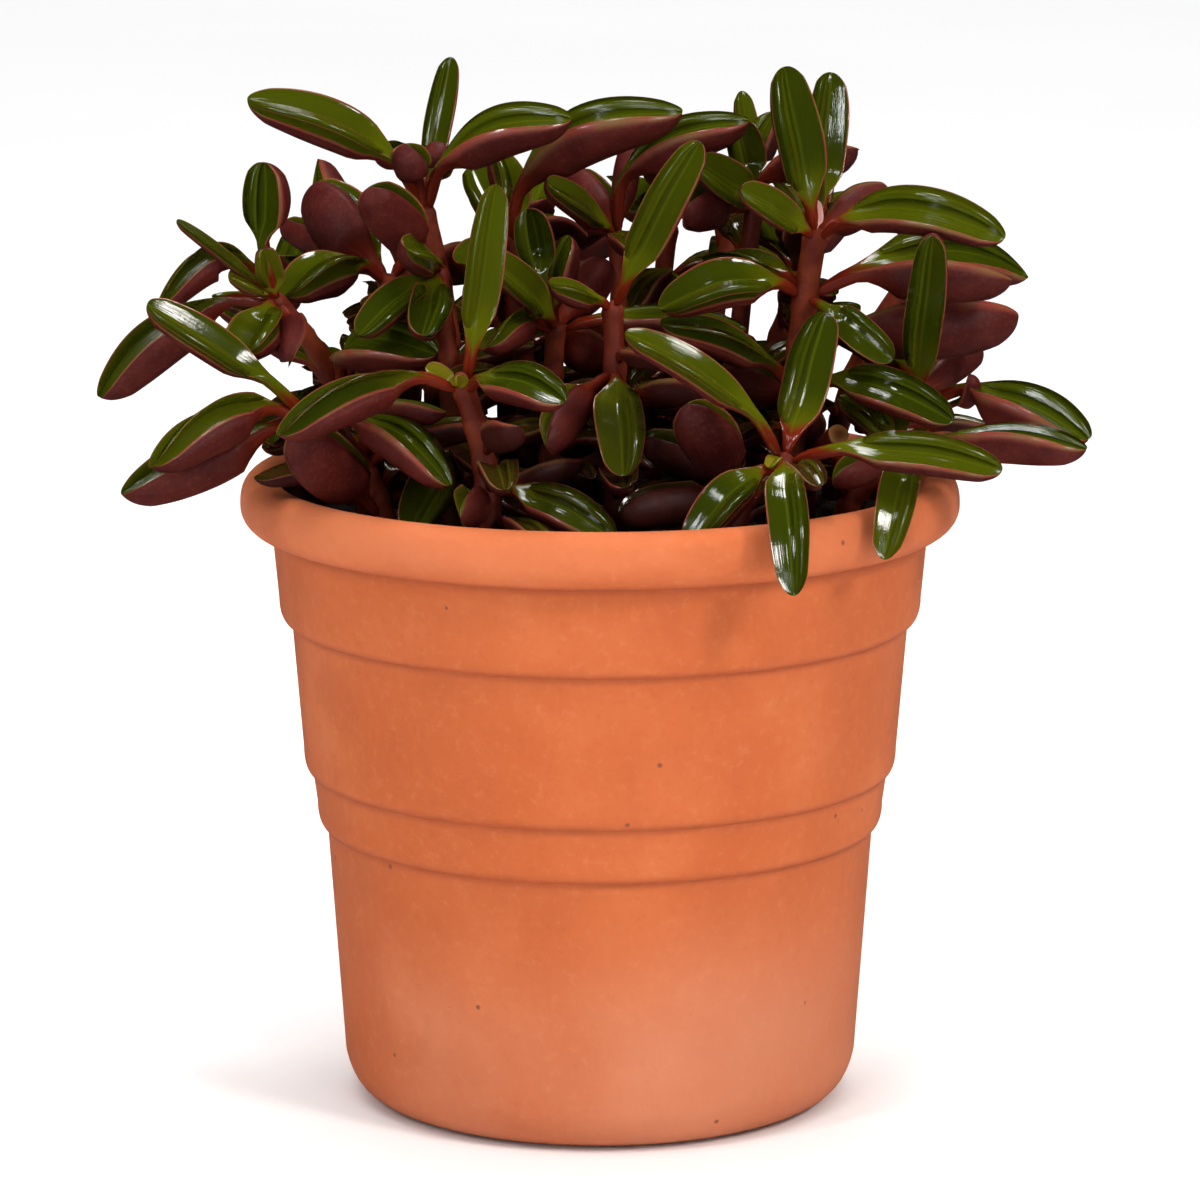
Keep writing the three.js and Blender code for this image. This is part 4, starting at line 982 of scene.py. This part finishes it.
def painted_crease_shade(p, clay, z, patch):
    """Painted shade: darker lines in the creases between the bands and under the rim."""
    for level in (BANDS[3][1], BANDS[3][0], BANDS[2][0], BANDS[1][0]):
        off = p.maths("ABSOLUTE", p.minus(z, level / 1000))
        crease_shade = p.times(p.fall(off, 0.0002, 0.0016), p.span(patch, 0.3, 0.7, 0.35, 0.85))
        clay = p.mix(p.times(crease_shade, 0.7), clay, (150, 66, 34))
    return clay


def turning_scuffs(p, x, y, z):
    """Faint scuffs that run round the pot, in some places only."""
    spin = p.vector(p.times(x, 30.0), p.times(y, 30.0), p.times(z, 420.0))
    scuff = p.noise(1.0, 5.0, 0.7, spin)
    return p.times(p.span(scuff, 0.66, 0.74), p.span(p.noise(22, 3.0), 0.54, 0.66))


def terracotta_material():
    p = Paint("terracotta")
    x, y, z = p.parts(p.place())
    cloud = p.noise(16, 4.0, 0.6, twist=0.4)
    patch = p.noise(60, 5.0, 0.62)
    grain = p.noise(520, 4.0, 0.65)
    grit = p.noise(2200, 2.0, 0.6)
    clay = fired_clay(p, cloud, patch, grain)
    clay = pale_bloom_and_rim_light(p, clay, z, cloud)
    # Painted shade in the creases and under the rim.
    clay = painted_crease_shade(p, clay, z, patch)
    speck = p.grains(190, (0.05, 0.11), (0.86, 0.88))
    clay = p.mix(p.times(speck, 0.75), clay, (104, 62, 44))
    clay = p.mix(p.times(turning_scuffs(p, x, y, z), 0.1), clay, (214, 150, 118))

    # The inside is painted dark up to a ragged line just below the rim: damp clay and painted shade.
    ragged = p.plus(z, p.times(p.minus(patch, 0.5), 0.004))
    damp_and_shade = p.times(p.mark("inner"), p.fall(ragged, 0.111, 0.1146))
    clay = p.mix(p.times(damp_and_shade, 0.88), clay, (58, 28, 18))
    relief = p.bump(grain, 0.25, 0.0004)
    relief = p.bump(grit, 0.16, 0.00012, Normal=relief)
    relief = p.bump(speck, 0.4, -0.0004, Normal=relief)
    p.set(Base_Color=clay, Roughness=p.span(patch, 0.3, 0.7, 0.72, 0.88), Normal=relief)
    p.set(Specular_IOR_Level=0.35)
    return p.material


def soil_material():
    p = Paint("potting_soil")
    lump = p.noise(120, 5.0, 0.65)
    crumb = p.noise(900, 4.0, 0.7)
    earth = p.mix(p.span(lump, 0.35, 0.7), (30, 22, 16), (58, 42, 30))
    earth = p.mix(p.span(crumb, 0.55, 0.8, 0.0, 0.6), earth, (96, 70, 48))
    earth = p.mix(p.grains(420, (0.1, 0.2), (0.93, 0.95)), earth, (176, 164, 142))
    relief = p.bump(crumb, 0.9, 0.0015)
    p.set(Base_Color=earth, Roughness=p.span(crumb, 0.3, 0.7, 0.8, 0.97), Normal=relief)
    return p.material


def floor_material():
    p = Paint("studio_floor")
    cloud = p.noise(3, 3.0, 0.5)
    paper = p.noise(700, 3.0, 0.6)
    p.set(
        Base_Color=p.mix(p.span(cloud, 0.3, 0.7), (245, 245, 244), (248, 247, 247)),
        Roughness=p.span(paper, 0.3, 0.7, 0.66, 0.74),
        Normal=p.bump(paper, 0.04, 0.0002),
    )
    return p.material


# The pot and the soil, turned about the upright axis from an outline of radii and heights.
SPLAY = 2.5


def quadratic(start, middle, end, steps):
    t = np.linspace(0, 1, steps + 1)[1:, None]
    start, middle, end = (np.array(v, dtype=float) for v in (start, middle, end))
    return ((1 - t) ** 2 * start + 2 * t * (1 - t) * middle + t * t * end).tolist()


def pot_outline():
    foot, curve, rim, top = POT["foot_radius"], POT["foot_curve"], POT["rim_radius"], POT["height"]
    mouth, inner, floor = POT["mouth_radius"], POT["inner_foot_radius"], POT["floor"]
    points = [[12, 0], [26, 0], [foot - 1.2, 0], [foot, 0.15]]
    points += quadratic((foot, 0.15), (foot + curve * 0.8, 0), (BANDS[0][2], curve), 9)
    for i, (low, high, low_radius, high_radius) in enumerate(BANDS):
        if i:
            under = BANDS[i - 1][3] + 0.1
            points.append([under, low])
            points += quadratic((under, low), (low_radius, low), (low_radius, low + SHOULDER), 8)
        radius, level = points[-1]
        for t in (0.34, 0.67, 1):
            points.append([radius + (high_radius - radius) * t, level + (high - level) * t])
    points += quadratic((BANDS[3][3], BANDS[3][1]), (rim - 0.6, 105.2), (rim, 108.8), 8)
    points += quadratic((rim, 108.8), (rim + 0.4, 114.2), (rim - 3.2, top), 10)
    points += quadratic((rim - 3.2, top), (mouth, top), (mouth, top - 3), 8)
    points += [[mouth - 1.8, 96], [inner + 3, floor + SPLAY], [inner, floor], [20, floor]]
    return np.array(points)


def turned(outline, sides):
    turn = circle(sides)
    x = outline[:, 0][:, None] * np.cos(turn)
    y = outline[:, 0][:, None] * np.sin(turn)
    return np.stack([x, y, np.broadcast_to(outline[:, 1][:, None], x.shape)], -1)


def inner_radius(z):
    low = (POT["floor"] + SPLAY, POT["inner_foot_radius"] + 3)
    high = (POT["height"] - 3, POT["mouth_radius"])
    return low[1] + (high[1] - low[1]) * (z - low[0]) / (high[0] - low[0])


# The soil's waves: their lengths and heights, and how many of each.
WAVES = [(9, 0.5), (4.2, 0.32), (2.3, 0.24), (1.5, 0.18)]
WAVES_EACH = 6
CRUMBS = 150
CRUMB_RINGS = np.radians([30, 62, 92, 122, 152])
CRUMB_SIDES = 8


def lumps(x, y):
    """The soil's low lumps, as a sum of waves that don't repeat within the pot."""
    rng = np.random.RandomState(11)
    total = np.zeros_like(x)
    for size, high in WAVES:
        for _ in range(WAVES_EACH):
            a, phase = rng.rand() * FULL_TURN, rng.rand() * FULL_TURN
            total += high / 2.4 * np.sin((x * math.cos(a) + y * math.sin(a)) * FULL_TURN / size + phase)
    return total


def soil_mesh():
    edge = inner_radius(SOIL_LEVEL) - 0.66
    bottom = POT["floor"] + 0.3
    side = [
        [POT["inner_foot_radius"] - 0.2, bottom],
        [inner_radius(bottom + SPLAY) - 0.54, bottom + SPLAY],
        [inner_radius(60) - 0.6, 60],
        [edge - 0.05, SOIL_LEVEL - 1],
    ]
    surface = [[radius, SOIL_LEVEL] for radius in np.linspace(edge, 1.2, 46)]
    spots = turned(np.array([[14, bottom]] + side + surface), 120)
    top = spots[1 + len(side):]
    x, y = top[..., 0], top[..., 1]
    out = np.hypot(x, y) / POT["mouth_radius"]
    fade = np.clip((edge - np.hypot(x, y)) / 5, 0, 1)
    mound = SOIL_CROWN * (1 - out * out) * 0.6 + 0.5 * np.sin(x * 0.21 + 1.3) * np.cos(y * 0.18 - 0.4)
    top[..., 2] += (mound + lumps(x, y)) * fade
    mesh = Mesh()
    marks = np.zeros(spots.shape[:2] + (1,))
    mesh.rings(spots, marks, vec(0, 0, bottom), vec(0, 0, float(top[-1, :, 2].mean())))
    rng = np.random.RandomState(5)
    for _ in range(CRUMBS):
        a, r = rng.rand() * FULL_TURN, math.sqrt(rng.rand()) * (edge - 4)
        size = 0.7 + rng.rand() ** 2 * 1.5
        x, y = r * math.cos(a), r * math.sin(a)
        level = SOIL_LEVEL + float(lumps(np.array([x]), np.array([y]))[0]) + size * 0.4
        add_crumb(mesh, vec(x, y, level), size, rng)
    return mesh


def add_crumb(mesh, middle, size, rng):
    turn = circle(CRUMB_SIDES)
    shape = 1 + 0.3 * (rng.rand(len(CRUMB_RINGS), CRUMB_SIDES) - 0.5)
    stretch = size * (0.7 + 0.6 * rng.rand(3)) * np.array([1, 1, 0.7])
    spots = np.stack([
        np.sin(CRUMB_RINGS)[:, None] * np.cos(turn) * shape,
        np.sin(CRUMB_RINGS)[:, None] * np.sin(turn) * shape,
        -np.cos(CRUMB_RINGS)[:, None] * shape,
    ], -1) * stretch + middle
    ends = [middle + vec(0, 0, -stretch[2]), middle + vec(0, 0, stretch[2])]
    mesh.rings(spots, np.zeros(spots.shape[:2] + (1,)), *ends)


# The pieces. Each stands for one node of the frame.
def place_piece(thing, node):
    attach(thing, "root")
    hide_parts(node)


outline = pot_outline()
pot_spots = turned(outline, 160)
past_rim = np.arange(len(outline)) > int(np.argmax(outline[:, 1])) + 2
inner_marks = np.broadcast_to(past_rim[:, None, None].astype(float), pot_spots.shape[:2] + (1,))
pot_mesh = Mesh()
pot_mesh.rings(pot_spots, inner_marks, vec(0, 0, 0), vec(0, 0, POT["floor"]))
pot = pot_mesh.make("terracotta_pot", ("inner",), terracotta_material())
pot.data.set_sharp_from_angle(angle=math.radians(38))
place_piece(pot, "pot")

earth = soil_mesh().make("potting_soil", (), soil_material())
place_piece(earth, "soil")

leafy = leafy_material()
for number, stem in enumerate(stems):
    body = Mesh()
    add_stem(body, stem)
    for grown_leaf in stem["leaves"]:
        add_leaf(body, grown_leaf)
    piece = body.make("leafy_" + stem["name"], MARKS, leafy)
    place_piece(piece, "stem_" + stem["name"])

# The floor lies just under the pot, and isn't mirrored in the leaves.
floor_mesh = bpy.data.meshes.new("studio_floor")
floor_mesh.from_pydata([(-6, -6, 0), (6, -6, 0), (6, 10, 0), (-6, 10, 0)], [], [(0, 1, 2, 3)])
floor_mesh.materials.append(floor_material())
floor = add_object("studio_floor", floor_mesh)
floor.location.z = -0.0002
floor.visible_glossy = False

# The camera at the photograph's angle.
SENSOR_WIDTH = 36
lens = bpy.data.cameras.new("camera")
lens.lens = SENSOR_WIDTH * VIEW["focal"] / FRAME_WIDTH
lens.clip_end = 50
camera = add_object("camera", lens)
camera.location = EYE / 1000
camera.rotation_euler = (math.radians(90 - VIEW["tilt"]), 0, 0)
bpy.context.scene.camera = camera

# Soft studio light, in metres and watts. The lamps look at one point near the rim.
WHITE = (1, 1, 1)
WARM = (1, 0.96, 0.92)
COOL = (0.94, 0.98, 1)
LOOKED_AT = Vector((0, 0, 0.11))


def soft_light(name, place, size, power, colour=WHITE, glossy=True, tall=1.0):
    lamp = bpy.data.lights.new(name, "AREA")
    lamp.shape = "ELLIPSE"
    lamp.size, lamp.size_y = size, size * tall
    lamp.energy = power
    lamp.color = colour
    thing = add_object(name, lamp)
    thing.location = place
    thing.rotation_euler = (LOOKED_AT - Vector(place)).to_track_quat("-Z", "Y").to_euler()
    thing.visible_glossy = glossy


soft_light("key", (0.8, -0.8, 0.95), 0.3, 9, WARM)
soft_light("left_box", (-0.75, -0.75, 0.95), 0.15, 3.8, COOL, tall=2)
soft_light("left_strip", (-0.75, -1.15, 0.35), 0.08, 2.4, (0.9, 0.96, 1), tall=9)
soft_light("front_right", (0.42, -1.05, 0.5), 0.1, 2, (0.92, 0.97, 1), tall=6)
soft_light("front_left", (-0.42, -1.1, 0.62), 0.1, 1, COOL, tall=1.6)
soft_light("high_strip", (-0.15, -0.75, 1.35), 0.16, 1.8, COOL)
soft_light("far_floor", (0, 3.2, 2.2), 2.5, 14, glossy=False)
soft_light("top", (0.1, 0.4, 1.2), 0.32, 4.5)
sky = bpy.data.lights.new("sky", "SUN")
sky.energy = 2.3
sky.angle = math.radians(70)
add_object("sky", sky).visible_glossy = False

world = bpy.data.worlds.new("studio")
world.use_nodes = True
background = world.node_tree.nodes["Background"]
background.inputs["Color"].default_value = (0.95, 0.97, 1, 1)
background.inputs["Strength"].default_value = 0.22
bpy.context.scene.world = world
world.cycles_visibility.glossy = False
bpy.context.scene.view_settings.view_transform = "Standard"
